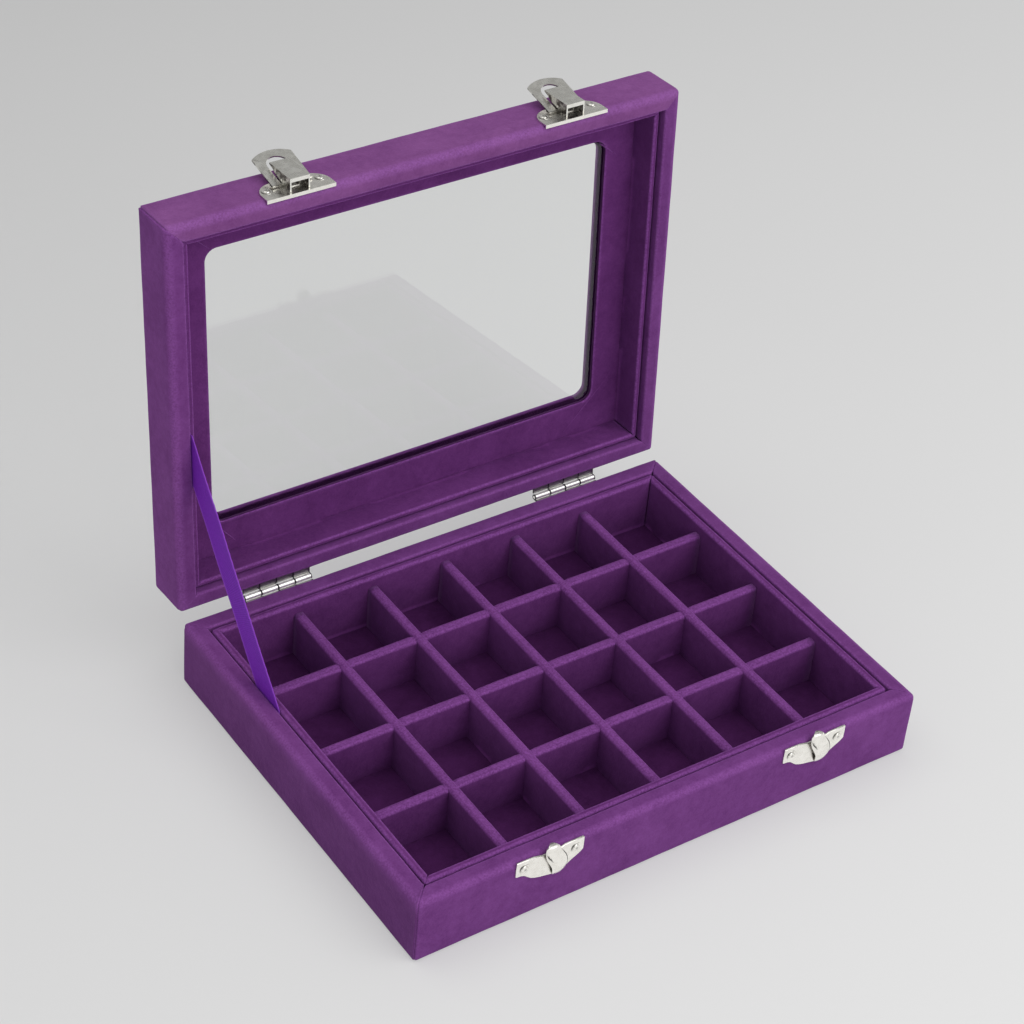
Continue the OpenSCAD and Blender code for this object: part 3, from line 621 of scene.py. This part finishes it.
# One side of a mitred frame: the section runs from mitre to mitre; seams are for the corners round from front left
def frameSide(side, width, depth, foot, section, corner, seams, seed):
    across, deep = (width, depth) if side % 2 == 0 else (depth, width)
    turn = Matrix.Rotation(math.radians(90 * side), 3, "Z")
    high = max(point[1] for point in section)
    lead = mitre["lead"]
    coarse, fine = mitre["ripple"]
    middleCount = max(8, round((across - 2 * corner) / mitre["spacing"]))
    stations = [(-1, t) for t in reversed(mitre["endSteps"])] + [(0, k / middleCount) for k in range(1, middleCount)]
    stations += [(1, t) for t in mitre["endSteps"]]
    points, wearSheenAndSelvedge, rings = [], [], []
    for end, t in stations:
        seam = seams[side if end < 0 else (side + 1) % 4]
        rings.append(range(len(points), len(points) + len(section)))
        for inset, rise, wayIn, wayUp, wornAndLit in section:
            bend = max(corner - inset, 0.0)
            flat = across / 2 - max(corner, inset) - lead
            outward = Vector((0, wayIn, 0))
            sink = paleFibres = 0.0
            if end == 0:
                spot = Vector((-flat + 2 * flat * t, inset, 0))
            else:
                length = lead + bend * math.pi / 4
                run = t * length
                gap = length - run
                if run <= lead or bend == 0:
                    spot = Vector((end * (flat + min(run, lead)), inset, 0))
                else:
                    angle = (run - lead) / bend
                    spot = Vector((end * (flat + lead + bend * math.sin(angle)), corner - bend * math.cos(angle), 0))
                    outward = Vector((-end * wayIn * math.sin(angle), wayIn * math.cos(angle), 0))
                sink = seamSink(seam, gap, rise / high, end > 0)
                paleFibres = seam["deep"] / mitre["frayDeep"] * math.exp(-(gap / mitre["frayWide"]) ** 2)
            spot.y -= deep / 2
            spot = turn @ spot
            spot.z = foot + rise
            way = turn @ outward
            way.z = wayUp
            ripple = rippleAt(spot, seed, coarse, fine) - 0.5 * coarse
            points.append(spot + way * (ripple - sink))
            wearSheenAndSelvedge.append(min(1.0, wornAndLit + paleFibres))
    return points, tubeFaces(rings), wearSheenAndSelvedge


# Base walls: the left cover laps round the front corner in a welt, the right corner is folded over the top only
walls = {"step": 2.4 * mm, "rearEdge": 1.6 * mm, "leftPaintedShade": 0.34, "shadeFade": 3 * mm, "shadeDepth": 1.2 * mm,
         "seams": [{"deep": 0.30 * mm, "wide": 0.26 * mm, "welt": 0.24 * mm},
                   {"deep": 0.30 * mm, "wide": 0.28 * mm, "above": 0.86}, plainSeam, plainSeam]}


def makeBaseWalls():
    section, tight = (boardSection(boards["thick"], baseHigh - coverTop,
                                   (boards["foot"], boards["square"], boards["inner"], edge), walls["step"])
                      for edge in (boards["edge"], walls["rearEdge"]))
    crest = baseHigh - boards["edge"]
    for side, label in enumerate(sideNames):
        points, faces, wearSheenAndSelvedge = frameSide(side, baseWidth, baseDepth, coverTop, tight if label == "rear" else section,
                                        boards["corner"], walls["seams"], side)
        shade = [0.0] * len(points)
        if label == "left":  # painted shade: the outer face darkens below its crest, as on the side away from the key light
            shade = [walls["leftPaintedShade"] * unit((crest - p.z) / walls["shadeFade"])
                     if p.x < -baseWidth / 2 + walls["shadeDepth"] else 0.0 for p in points]
        addPiece(f"base_{label}_cover", points, faces, "outer", "base", [f"base_{label}_wall"], wearSheenAndSelvedge=wearSheenAndSelvedge,
                 shade=shade)


# Liners and linings: thin boards with a soft crest, of this share of their thickness
lining = {"thick": 2.1 * mm, "drop": 2.5 * mm, "crest": 0.45, "step": 2.0 * mm}


def makeLiners():
    crest = lining["crest"] * tray["liner"]
    section = boardSection(tray["liner"], baseHigh - tray["linerDrop"] - floorTop,
                           (boards["square"], boards["square"], crest, crest), lining["step"])
    for side, label in enumerate(sideNames):
        points, faces, wearSheenAndSelvedge = frameSide(side, baseWidth - linerRoom, baseDepth - linerRoom, floorTop, section,
                                        boards["inner"], [plainSeam] * 4, 10 + side)
        addPiece(f"liner_{label}_cover", points, faces, "inner", "base", [f"liner_{label}"], wearSheenAndSelvedge=wearSheenAndSelvedge)


lidSeams = [{"deep": 0.42 * mm, "wide": 0.34 * mm, "welt": 0.12 * mm}, {"deep": 0.08 * mm, "wide": 0.4 * mm},
            plainSeam, plainSeam]


def makeLidRails():
    section = boardSection(boards["thick"], lidSizes["height"],
                           (lidSizes["rim"], boards["inner"], boards["square"], boards["edge"]), walls["step"])
    for side, label in enumerate(sideNames):
        points, faces, wearSheenAndSelvedge = frameSide(side, lidWidth, lidSizes["depth"], 0, section, boards["corner"],
                                        lidSeams, 20 + side)
        addPiece(f"lid_{label}_cover", points, faces, "lidFront" if side == 0 else "outer", "lid",
                 [f"lid_{label}_rail"], place=lidPlace, wearSheenAndSelvedge=wearSheenAndSelvedge)


def makeLidLinings():
    crest = lining["crest"] * lining["thick"]
    section = boardSection(lining["thick"], lidSizes["cavity"] - lining["drop"],
                           (crest, crest, boards["square"], boards["square"]), lining["step"])
    for side, label in enumerate(sideNames):
        points, faces, wearSheenAndSelvedge = frameSide(side, lidWidth - linerRoom, lidSizes["depth"] - linerRoom, lining["drop"],
                                        section, boards["inner"], [plainSeam] * 4, 30 + side)
        addPiece(f"lining_{label}_cover", points, faces, "inner", "lid", [f"lid_lining_{label}"],
                 place=lidPlace, wearSheenAndSelvedge=wearSheenAndSelvedge)


# Dividers: covered cards with a soft rounded top; the cross ones dip where a long one passes over them
divider = {"columns": 6, "rows": 4, "flat": 1.3 * mm, "under": 0.22 * mm, "notch": (0.45 * mm, 0.7 * mm), "fuzzAndSheen": 1.0,
           "plainEdge": 0.7, "crown": 0.75, "step": 2.2 * mm, "steps": 45, "ripple": (0.12 * mm, 0.05 * mm),
           "beside": (0.0, 0.5 * mm, 1.0 * mm, 1.6 * mm, 2.6 * mm)}  # extra stations by each crossing


def makeDivider(name, node, start, end, drop, crossings, seed):
    along = (end - start).normalized()
    side = Vector((along.y, -along.x, 0))
    high = dividerTop - drop - floorTop
    half, flat = tray["divider"] / 2, divider["flat"]
    section = boardSection(tray["divider"], high, (boards["square"], boards["square"], flat, flat), divider["step"])
    length = (end - start).length
    marks = {round(place + edge * half + way * offset, 6) for place in crossings for offset in divider["beside"]
             for edge in (-1, 1) for way in (-1, 1)}
    plain = [length * k / divider["steps"] for k in range(divider["steps"] + 1)]
    deep, wide = divider["notch"]
    points, wearSheenAndSelvedge, rings = [], [], []
    for run in sorted(m for m in marks.union(plain) if 0 <= m <= length):
        gap = min(abs(abs(run - place) - half) for place in crossings)
        sink = deep * math.exp(-(gap / wide) ** 2) if drop else 0.0
        rings.append(range(len(points), len(points) + len(section)))
        for inset, rise, wayIn, wayUp, wornAndLit in section:
            spot = start + along * run + side * (inset - half)
            spot.z = floorTop + rise
            way = side * wayIn
            way.z = wayUp
            topShare = unit((rise - high + flat) / flat)
            spot += way * rippleAt(spot, seed, *divider["ripple"])
            spot.z -= sink * topShare
            points.append(spot)
            # Painted highlight: the flat top is paler all over, and one shoulder is paler than the other
            edge = divider["fuzzAndSheen"] if inset > half else divider["plainEdge"]
            wearSheenAndSelvedge.append(max(wornAndLit * edge, divider["crown"] if topShare >= 1.0 else 0.0))
    addPiece(name, points, tubeFaces(rings), "inner", "base", [node], wearSheenAndSelvedge=wearSheenAndSelvedge)


def makeDividers():
    wall = boards["thick"] + tray["seam"] + tray["liner"]
    x, y = baseWidth / 2 - wall, baseDepth / 2 - wall
    longAt = [-x + k * 2 * x / divider["columns"] for k in range(1, divider["columns"])]
    crossAt = [-y + k * (2 * y + tray["rearShort"]) / divider["rows"] for k in range(1, divider["rows"])]
    for k, at in enumerate(longAt):
        makeDivider(f"long_divider_{k + 1}_cover", f"long_divider_{k + 1}", Vector((at, -y, 0)), Vector((at, y, 0)),
                    0.0, [other + y for other in crossAt], 40 + k)
    for k, at in enumerate(crossAt):
        makeDivider(f"cross_divider_{k + 1}_cover", f"cross_divider_{k + 1}", Vector((-x, at, 0)), Vector((x, at, 0)),
                    divider["under"], [other + x for other in longAt], 50 + k)


# Cards round the glass: steps of the opening's corners, sides and edge, stations out to the rim, wear with painted
# highlight, and painted shade
cards = {"arc": 8, "side": 24, "turns": 5, "outerCorner": 0.2 * mm, "shares": (0.05, 0.2, 0.4, 0.6, 0.8, 1.0),
         "ripple": (0.10 * mm, 0.04 * mm), "rimWearAndSheen": 0.4, "retainerThick": 1.4 * mm, "retainerEdge": 0.5 * mm,
         "retainerShade": 0.75, "topEdge": 1.0 * mm, "topShade": 1.0}


# Rectangle with rounded corners as a closed line
def roundedRing(width, depth, radius):
    ring = []
    for quarter in range(4):
        across, deep = (width, depth) if quarter % 2 == 0 else (depth, width)
        turn = Matrix.Rotation(math.radians(90 * quarter), 3, "Z")
        line = [Vector((-across / 2 + radius + (across - 2 * radius) * k / cards["side"], -deep / 2, 0))
                for k in range(cards["side"])]
        line += [Vector((across / 2 - radius + radius * math.sin(a), -deep / 2 + radius - radius * math.cos(a), 0))
                 for k in range(cards["arc"]) for a in (math.pi / 2 * k / cards["arc"],)]
        ring.extend(turn @ p for p in line)
    return ring


# A flat card with a soft edge round its opening, that edge at low; its rows come too, so that some can be shaded
def windowFrame(low, high, window, edge, seed):
    ring = roundedRing(window[0], window[1], lidSizes["windowCorner"])
    outer = roundedRing(lidWidth - cardRoom, lidSizes["depth"] - cardRoom, cards["outerCorner"])
    shift = Vector((0, -lidSizes["windowShift"], 0))
    spokes = [(p + shift, (q - p).normalized(), q) for p, q in zip(ring, outer)]
    points, wearSheenAndSelvedge, rows = [], [], []

    def addRow(spots, wornAndLit):
        rows.append(range(len(points), len(points) + len(spots)))
        points.extend(spots)
        wearSheenAndSelvedge.extend([wornAndLit] * len(spots))

    addRow([start + Vector((0, 0, high)) for start, away, q in spokes], 0.0)
    for k in range(cards["turns"] + 1):
        angle = math.pi / 2 * k / cards["turns"]
        lift = Vector((0, 0, low + edge * (1 - math.sin(angle))))
        # The rounded edge is paler towards its middle: wear with a painted highlight
        addRow([start + away * edge * (1 - math.cos(angle)) + lift for start, away, q in spokes],
               math.sin(angle) if k < cards["turns"] else cards["rimWearAndSheen"])
    for share in cards["shares"]:
        spots = [(start + away * edge).lerp(q, share) for start, away, q in spokes]
        for spot in spots:
            spot.z = low - rippleAt(spot, seed, *cards["ripple"])
        addRow(spots, 0.0)
    addRow([Vector((q.x, q.y, high)) for q in outer], 0.0)
    rows.append(rows[0])
    return points, bandFaces(rows), wearSheenAndSelvedge, rows


def makeRetainer():
    low = lidSizes["cavity"]
    points, faces, wearSheenAndSelvedge, rows = windowFrame(low, low + cards["retainerThick"],
                                            (lidSizes["windowWidth"], lidSizes["windowDepth"]),
                                            cards["retainerEdge"], 61)
    shaded = {*rows[0], *rows[1]}
    addPiece("retainer_cover", points, faces, "inner", "lid", ["glass_retainer"], place=lidPlace,
             wearSheenAndSelvedge=wearSheenAndSelvedge, shade=[cards["retainerShade"] * (k in shaded) for k in range(len(points))])


# The top frame is made upside down, then mirrored in height with its faces turned round
def makeTopFrame():
    opening = [lidSizes[key] - 2 * lidSizes["windowStep"] for key in ("windowWidth", "windowDepth")]
    points, faces, wearSheenAndSelvedge, rows = windowFrame(-lidSizes["height"], -lidSizes["glassTop"], opening, cards["topEdge"], 62)
    shaded = {*rows[0], *rows[-2]}
    addPiece("top_frame_cover", points, [tuple(reversed(f)) for f in faces], "outer", "lid",
             ["lid_top_frame"], place=lidPlace @ Matrix.Diagonal((1, 1, -1, 1)), wearSheenAndSelvedge=wearSheenAndSelvedge,
             shade=[cards["topShade"] * (k in shaded) for k in range(len(points))])


trayCard = {"columns": 90, "rows": 68, "ripple": (0.08 * mm, 0.04 * mm)}


def makeTrayFloor():
    width, depth = baseWidth - cardRoom, baseDepth - cardRoom
    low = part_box("tray_floor")[0].z
    columns, rows = trayCard["columns"], trayCard["rows"]
    wide = columns + 1
    points = []
    for j in range(rows + 1):
        for i in range(wide):
            spot = Vector((-width / 2 + width * i / columns, -depth / 2 + depth * j / rows, floorTop))
            spot.z += rippleAt(spot, 71, *trayCard["ripple"]) - trayCard["ripple"][0]
            points.append(spot)
    faces = [(k, k + 1, k + 1 + wide, k + wide) for j in range(rows) for k in range(j * wide, j * wide + columns)]
    rim = [*range(wide), *range(wide + columns, (rows + 1) * wide, wide)]
    rim += [*range(rows * wide + columns - 1, rows * wide - 1, -1), *range((rows - 1) * wide, 0, -wide)]
    under = range(len(points), len(points) + len(rim))
    points.extend(Vector((points[k].x, points[k].y, low)) for k in rim)
    faces += bandFaces([rim, under], True) + [tuple(reversed(under))]
    addPiece("tray_floor_cover", points, faces, "floor", "base", ["tray_floor"])


# Folds: the retainer's cover is tucked across each window corner, from (x, y) to (x, y) in the lid
folds = {"lines": (((86.6, 44.0), (67.2, 62.8)), ((-77.4, 53.9), (-70.4, 62.1)), ((75.8, -53.8), (84.0, -47.1)),
                   ((-77.0, -54.5), (-83.0, -60.0))), "half": 0.30 * mm, "high": 0.16 * mm, "steps": 14,
         "profile": ((-1, -0.3), (-0.6, 0.6), (0, 1), (0.6, 0.6), (1, -0.3)), "wearSheenAndSelvedge": 0.9}


def makeFolds():
    points, faces, wearSheenAndSelvedge = [], [], []
    for first, last in folds["lines"]:
        start, end = (Vector((x * mm, y * mm, lidSizes["cavity"])) for x, y in (first, last))
        along = (end - start).normalized()
        side = Vector((-along.y, along.x, 0))
        rings = []
        for k in range(folds["steps"] + 1):
            share = k / folds["steps"]
            swell = max(0.05, math.sin(math.pi * share)) ** 0.5
            middle = start.lerp(end, share)
            rings.append(range(len(points), len(points) + len(folds["profile"])))
            for across, up in folds["profile"]:
                points.append(middle + side * (across * folds["half"] * swell)
                              - Vector((0, 0, up * folds["high"] * swell)))
                # One side of each ridge is paler, a painted highlight
                wearSheenAndSelvedge.append(folds["wearSheenAndSelvedge"] * swell if across <= 0 else 0.0)
        faces += bandFaces(rings) + [tuple(rings[0]), tuple(reversed(rings[-1]))]
    addPiece("retainer_folds", points, faces, "inner", "lid", place=lidPlace, wearSheenAndSelvedge=wearSheenAndSelvedge)


# Ribbon: a woven band lying in the plane of the left grooves, tucked into the base's and the lid's
ribbon = {"width": 12 * mm, "thick": 0.28 * mm, "tuck": 5 * mm, "baseBack": 46.5 * mm, "lidBack": 60.2 * mm,
          "freeSteps": 84, "tuckSteps": 3, "columns": 12, "belly": 0.15 * mm, "sway": 0.22 * mm, "swayScale": 60,
          "loop": 0.10 * mm, "loopPitch": 0.45 * mm, "easeIn": 8}


def makeRibbon():
    lowX = -(baseWidth / 2 - boards["thick"] - tray["seam"] / 2)
    highX = -(lidWidth / 2 - boards["thick"] - tray["seam"] / 2)
    low = Vector((lowX, baseDepth / 2 - ribbon["baseBack"], baseHigh))
    lidY = lidSizes["depth"] / 2 - ribbon["lidBack"]
    high = lidPlace @ Vector((highX, lidY, 0))
    slope = math.atan2(high.z - low.z, high.y - low.y)
    half = ribbon["width"] / 2 / math.sin(slope)
    lidHalf = ribbon["width"] / 2 / math.sin(math.pi - openAngle - slope)
    lines = []
    for side in (-1, 1):
        groove = low + Vector((0, side * half, 0))
        lines.append([groove - Vector((0, 0, ribbon["tuck"])), groove,
                      *(lidPlace @ Vector((highX, lidY + side * lidHalf, up)) for up in (0, ribbon["tuck"]))])
    along = (lines[0][2] - lines[0][1]).normalized()
    across = Vector((0, along.z, -along.y))
    counts = (ribbon["tuckSteps"], ribbon["freeSteps"], ribbon["tuckSteps"])
    stations = [(k, t / n) for k, n in enumerate(counts) for t in range(n)] + [(2, 1.0)]
    lengths = [sum((line[k + 1] - line[k]).length for line in lines) / 2 for k in range(3)]
    points, wearSheenAndSelvedge, flats = [], [], []
    for face in (-1, 1):
        for k, t in stations:
            run = sum(lengths[:k]) + t * lengths[k]
            taut = min(1.0, ribbon["easeIn"] * min(t, 1 - t)) if k == 1 else 0.0
            ends = [line[k].lerp(line[k + 1], t) for line in lines]
            for c in range(ribbon["columns"] + 1):
                share = c / ribbon["columns"]
                spot = ends[0].lerp(ends[1], share)
                belly = math.sin(math.pi * share) * ribbon["belly"]
                sway = noise.noise(Vector((run * ribbon["swayScale"], share * 0.6, 3.1))) * ribbon["sway"]
                spot.x += face * ribbon["thick"] / 2 + taut * (sway + belly)
                selvedge = c in (0, ribbon["columns"])
                if selvedge:
                    loop = taut * ribbon["loop"] * math.sin(run / ribbon["loopPitch"])
                    spot += across * (loop if c else -loop)
                points.append(spot)
                wearSheenAndSelvedge.append(1.0 if selvedge else 0.0)
                flats.append((share * ribbon["width"], run))
    faces = slabFaces(0, len(stations), ribbon["columns"] + 1)
    piece = addPiece("ribbon_band", points, faces, "ribbon", None, ["ribbon_stay"], wearSheenAndSelvedge=wearSheenAndSelvedge, crisp=60)
    layer = piece.data.uv_layers.new(name="flat")
    for loop in piece.data.loops:
        layer.data[loop.index].uv = flats[loop.vertex_index]
    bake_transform(piece)


# Catches: a plate whose tongue is bent out into a swelling nose with a domed, hooked end
# The groove, the painted shadow line and the nose are in mm, or in shares of the nose's half width where they lie
# across it
catch = {"nailRise": 0.9 * mm, "sheet": 0.5 * mm, "roll": 0.13 * mm, "columns": 18, "arch": 0.28, "archFree": 0.3,
         "groove": 0.22, "grooveAt": -0.52, "grooveLean": 0.11, "grooveHalf": 0.06, "grooveRun": (22.4, 25.9),
         "grooveFade": 0.4, "grooveColumns": (-0.075, -0.045, 0.0, 0.045), "shadowLineRun": (18.8, 26.0), "shadowLineFade": 0.5,
         "shadowLineAt": 0.90, "shadowLineWide": 0.03, "shadowLineColumns": [0.93, 0.965], "nickel": 0.42, "leastDeep": 0.12,
         "narrower": 0.06, "innerShade": 0.55,
         "outline": ((-12.8, 25.9), (-12.95, 22.9), (-12.9, 20.1), (-12.5, 19.85), (-10.9, 19.7), (-9.6, 19.2),
                     (-8.4, 18.1), (-7.0, 17.0), (-5.4, 16.3), (-3.6, 15.8), (-1.6, 15.4), (0.8, 14.9), (2.6, 14.5),
                     (4.2, 14.9), (5.6, 15.6), (7.0, 16.5), (8.0, 17.3), (9.4, 18.1), (10.8, 18.9), (12.0, 19.7),
                     (12.85, 20.6), (12.95, 23.4), (12.9, 25.6), (12.6, 25.9), (8.5, 25.9), (5.6, 25.8), (4.4, 25.3),
                     (3.2, 25.0), (0.0, 24.9), (-3.2, 24.9), (-4.6, 25.3), (-6.6, 25.8), (-9.5, 25.9)),
         # along the nose: height, distance from the wall, half width, distance from the middle
         "nose": ((14.5, 0.52, 0.9, 2.5), (14.9, 0.95, 1.5, 2.6), (15.6, 1.50, 1.95, 2.8), (16.6, 2.00, 2.3, 2.9),
                  (17.8, 2.40, 2.6, 2.95), (19.2, 2.65, 2.95, 2.85), (20.6, 2.78, 3.3, 2.5), (22.0, 2.75, 3.55, 2.0),
                  (23.4, 2.62, 3.65, 1.4), (24.6, 2.42, 3.5, 0.85), (25.8, 2.15, 3.15, 0.4), (26.8, 1.98, 2.8, 0.1),
                  (27.5, 1.90, 2.6, 0.0), (27.95, 1.88, 2.4, 0.0), (28.15, 2.18, 2.25, 0.0), (28.4, 2.16, 2.0, 0.0),
                  (28.6, 1.92, 1.7, 0.0), (28.76, 1.50, 1.3, 0.0), (28.82, 1.00, 0.85, 0.0),
                  (28.78, 0.50, 0.35, 0.0))}


# One row across the nose, as (point, shade); the shade is painted, in the groove, over the inner layer and along the
# shadow line at the nose's edge; the inner layer lies the nickel's thickness behind the outer one
def noseRow(height, out, half, middle, inner):
    inRun, inShadowLine = (unit(min(height - low, high - height) / fade) for (low, high), fade in
                     ((catch["grooveRun"], catch["grooveFade"]), (catch["shadowLineRun"], catch["shadowLineFade"])))
    low, high = catch["grooveRun"]
    at = catch["grooveAt"] - catch["grooveLean"] * min(high - low, max(0.0, height - low))
    shares = [-1 + 2 * c / catch["columns"] for c in range(catch["columns"] + 1)]
    shares += [at + d for d in catch["grooveColumns"]] + catch["shadowLineColumns"]
    row = []
    for share in sorted(shares):
        depth = out - catch["arch"] * min(half, out - catch["archFree"]) * share * share
        cut = abs(share - at) < catch["grooveHalf"]
        if inner:
            depth = max(depth - catch["nickel"], catch["leastDeep"])
            shade = inRun if cut else catch["innerShade"]
        else:
            depth -= inRun * catch["groove"] * cut
            shade = max(inRun * cut, inShadowLine * unit((share - catch["shadowLineAt"]) / catch["shadowLineWide"]))
        row.append((Vector((middle + share * half * (1 - catch["narrower"] * inner), -depth, height)) * mm, shade))
    return row


def makeCatch(name, node, x):
    wall = Vector((x, -baseDepth / 2, 0))
    flat = [Vector((px * mm, 0, pz * mm)) for px, pz in catch["outline"]]
    count = len(flat)
    inset = []
    for k in range(count):
        way = (flat[(k + 1) % count] - flat[k - 1]).normalized()
        inset.append(flat[k] + Vector((-way.z, 0, way.x)) * catch["roll"])
    layers = ((flat, 0.0), (flat, catch["sheet"] - catch["roll"]), (inset, catch["sheet"]))
    points = [wall + p - Vector((0, out, 0)) for ring, out in layers for p in ring]
    faces = bandFaces([range(j * count, (j + 1) * count) for j in range(3)])
    faces += [tuple(reversed(range(count))), tuple(range(2 * count, 3 * count))]
    shade = [0.0] * len(points)
    rows = [noseRow(*station, inner) for inner in (False, True) for station in catch["nose"]]
    faces += slabFaces(len(points), len(catch["nose"]), len(rows[0]), turned=True)
    for row in rows:
        points.extend(wall + spot for spot, _ in row)
        shade.extend(value for _, value in row)
    addPiece(name, points, faces, "nickel", "base", [node], shade=shade, crisp=35)


# Nails: a domed head in a shallow dimple, with a painted shadow on one side of the dimple and a painted dark
# reflection at the top of the head; profile is (radius, height) in mm
nails = {"profile": ((2.0, 0.0), (1.92, 0.10), (1.62, 0.10), (1.42, 0.04), (1.28, 0.05), (1.18, 0.26), (0.95, 0.40),
                     (0.62, 0.48), (0.34, 0.50), (0.16, 0.47)), "turns": 28, "dark": (1, 2, 3), "dot": (8, 9),
         "dotReflection": 0.45, "beside": 9.8 * mm, "claspHeight": 5.6 * mm, "catchShadowWay": (-0.77, 0, 0.64),
         "claspShadowWay": (-0.8, 0, -0.6)}


def makeNails(name, node, body, spots, shadowWay, place=None):
    away, right = Vector((0, -1, 0)), Vector((1, 0, 0))
    upright = away.cross(right)
    points, faces, shade = [], [], []
    turns = nails["turns"]
    for spot in spots:
        rings = []
        for index, (radius, height) in enumerate(nails["profile"]):
            rings.append(range(len(points), len(points) + turns))
            for k in range(turns):
                angle = 2 * math.pi * k / turns
                way = right * math.cos(angle) + upright * math.sin(angle)
                points.append(spot + (way * radius + away * height) * mm)
                # Painted shadow on one side of the dimple, painted reflection on the dome's top
                side = max(0.0, way.dot(shadowWay)) ** 1.5
                shade.append(side if index in nails["dark"] else nails["dotReflection"] * (index in nails["dot"]))
        faces += bandFaces(rings) + [tuple(reversed(rings[0])), tuple(rings[-1])]
    addPiece(name, points, faces, "nickel", body, [node], place=place, shade=shade, crisp=50)


def makeCatches():
    middles = [middleOf(f"front_catch_{side}") for side in ("left", "right")]
    for side, x in zip(("left", "right"), middles):
        makeCatch(f"catch_{side}_plate", f"front_catch_{side}", x)
    low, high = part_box("catch_nails")
    catchSpots, claspSpots = ([Vector((x + side * nails["beside"], -depth / 2 - catch["sheet"], height))
                               for x in middles for side in (-1, 1)]
                              for depth, height in ((baseDepth, (low.z + high.z) / 2 + catch["nailRise"]),
                                                    (lidSizes["depth"], nails["claspHeight"])))
    makeNails("catch_nail_heads", "catch_nails", "base", catchSpots, Vector(nails["catchShadowWay"]))
    makeNails("clasp_nail_heads", "clasp_nails", "lid", claspSpots, Vector(nails["claspShadowWay"]), lidPlace)


# CAD nodes that stay: finishes and, on the sheet metal, rolled edges
kept = {"base_bottom_board": "board", "underside_cover": "felt", "glass_pane": "glass"}
rolled = {"hinge": 0.2 * mm, "clasp": 0.16 * mm, "segments": 3, "angle": 40}


def metalFinish(name):
    if name.endswith(("_pin", "_spring")):
        return "steel"
    if name.endswith("_leaf"):
        return "hingeLeft" if "left" in name else "hingeRight"
    return "lever" if name.endswith("_lever") else "nickel"


def dressNodes():
    metals = [n for n in frame["nodes"] if n.startswith(("clasp_left", "clasp_right", "hinge_"))]
    for name, finish in {**kept, **{n: metalFinish(n) for n in metals}}.items():
        node = frame["nodes"][name]
        node.data.materials.clear()
        node.data.materials.append(look[finish])
    for name in metals:
        bevel = frame["nodes"][name].modifiers.new("rolledEdge", "BEVEL")
        bevel.width = rolled["hinge" if name.startswith("hinge_") else "clasp"]
        bevel.segments = rolled["segments"]
        bevel.limit_method = "ANGLE"
        bevel.angle_limit = math.radians(rolled["angle"])


makeCamera()
makeStudio()
print("camera and studio made")
makeBaseWalls()
makeLiners()
makeDividers()
makeTrayFloor()
print("base covered")
makeLidRails()
makeLidLinings()
makeRetainer()
makeTopFrame()
makeFolds()
print("lid covered")
makeRibbon()
makeCatches()
dressNodes()
print("ribbon and metal made")
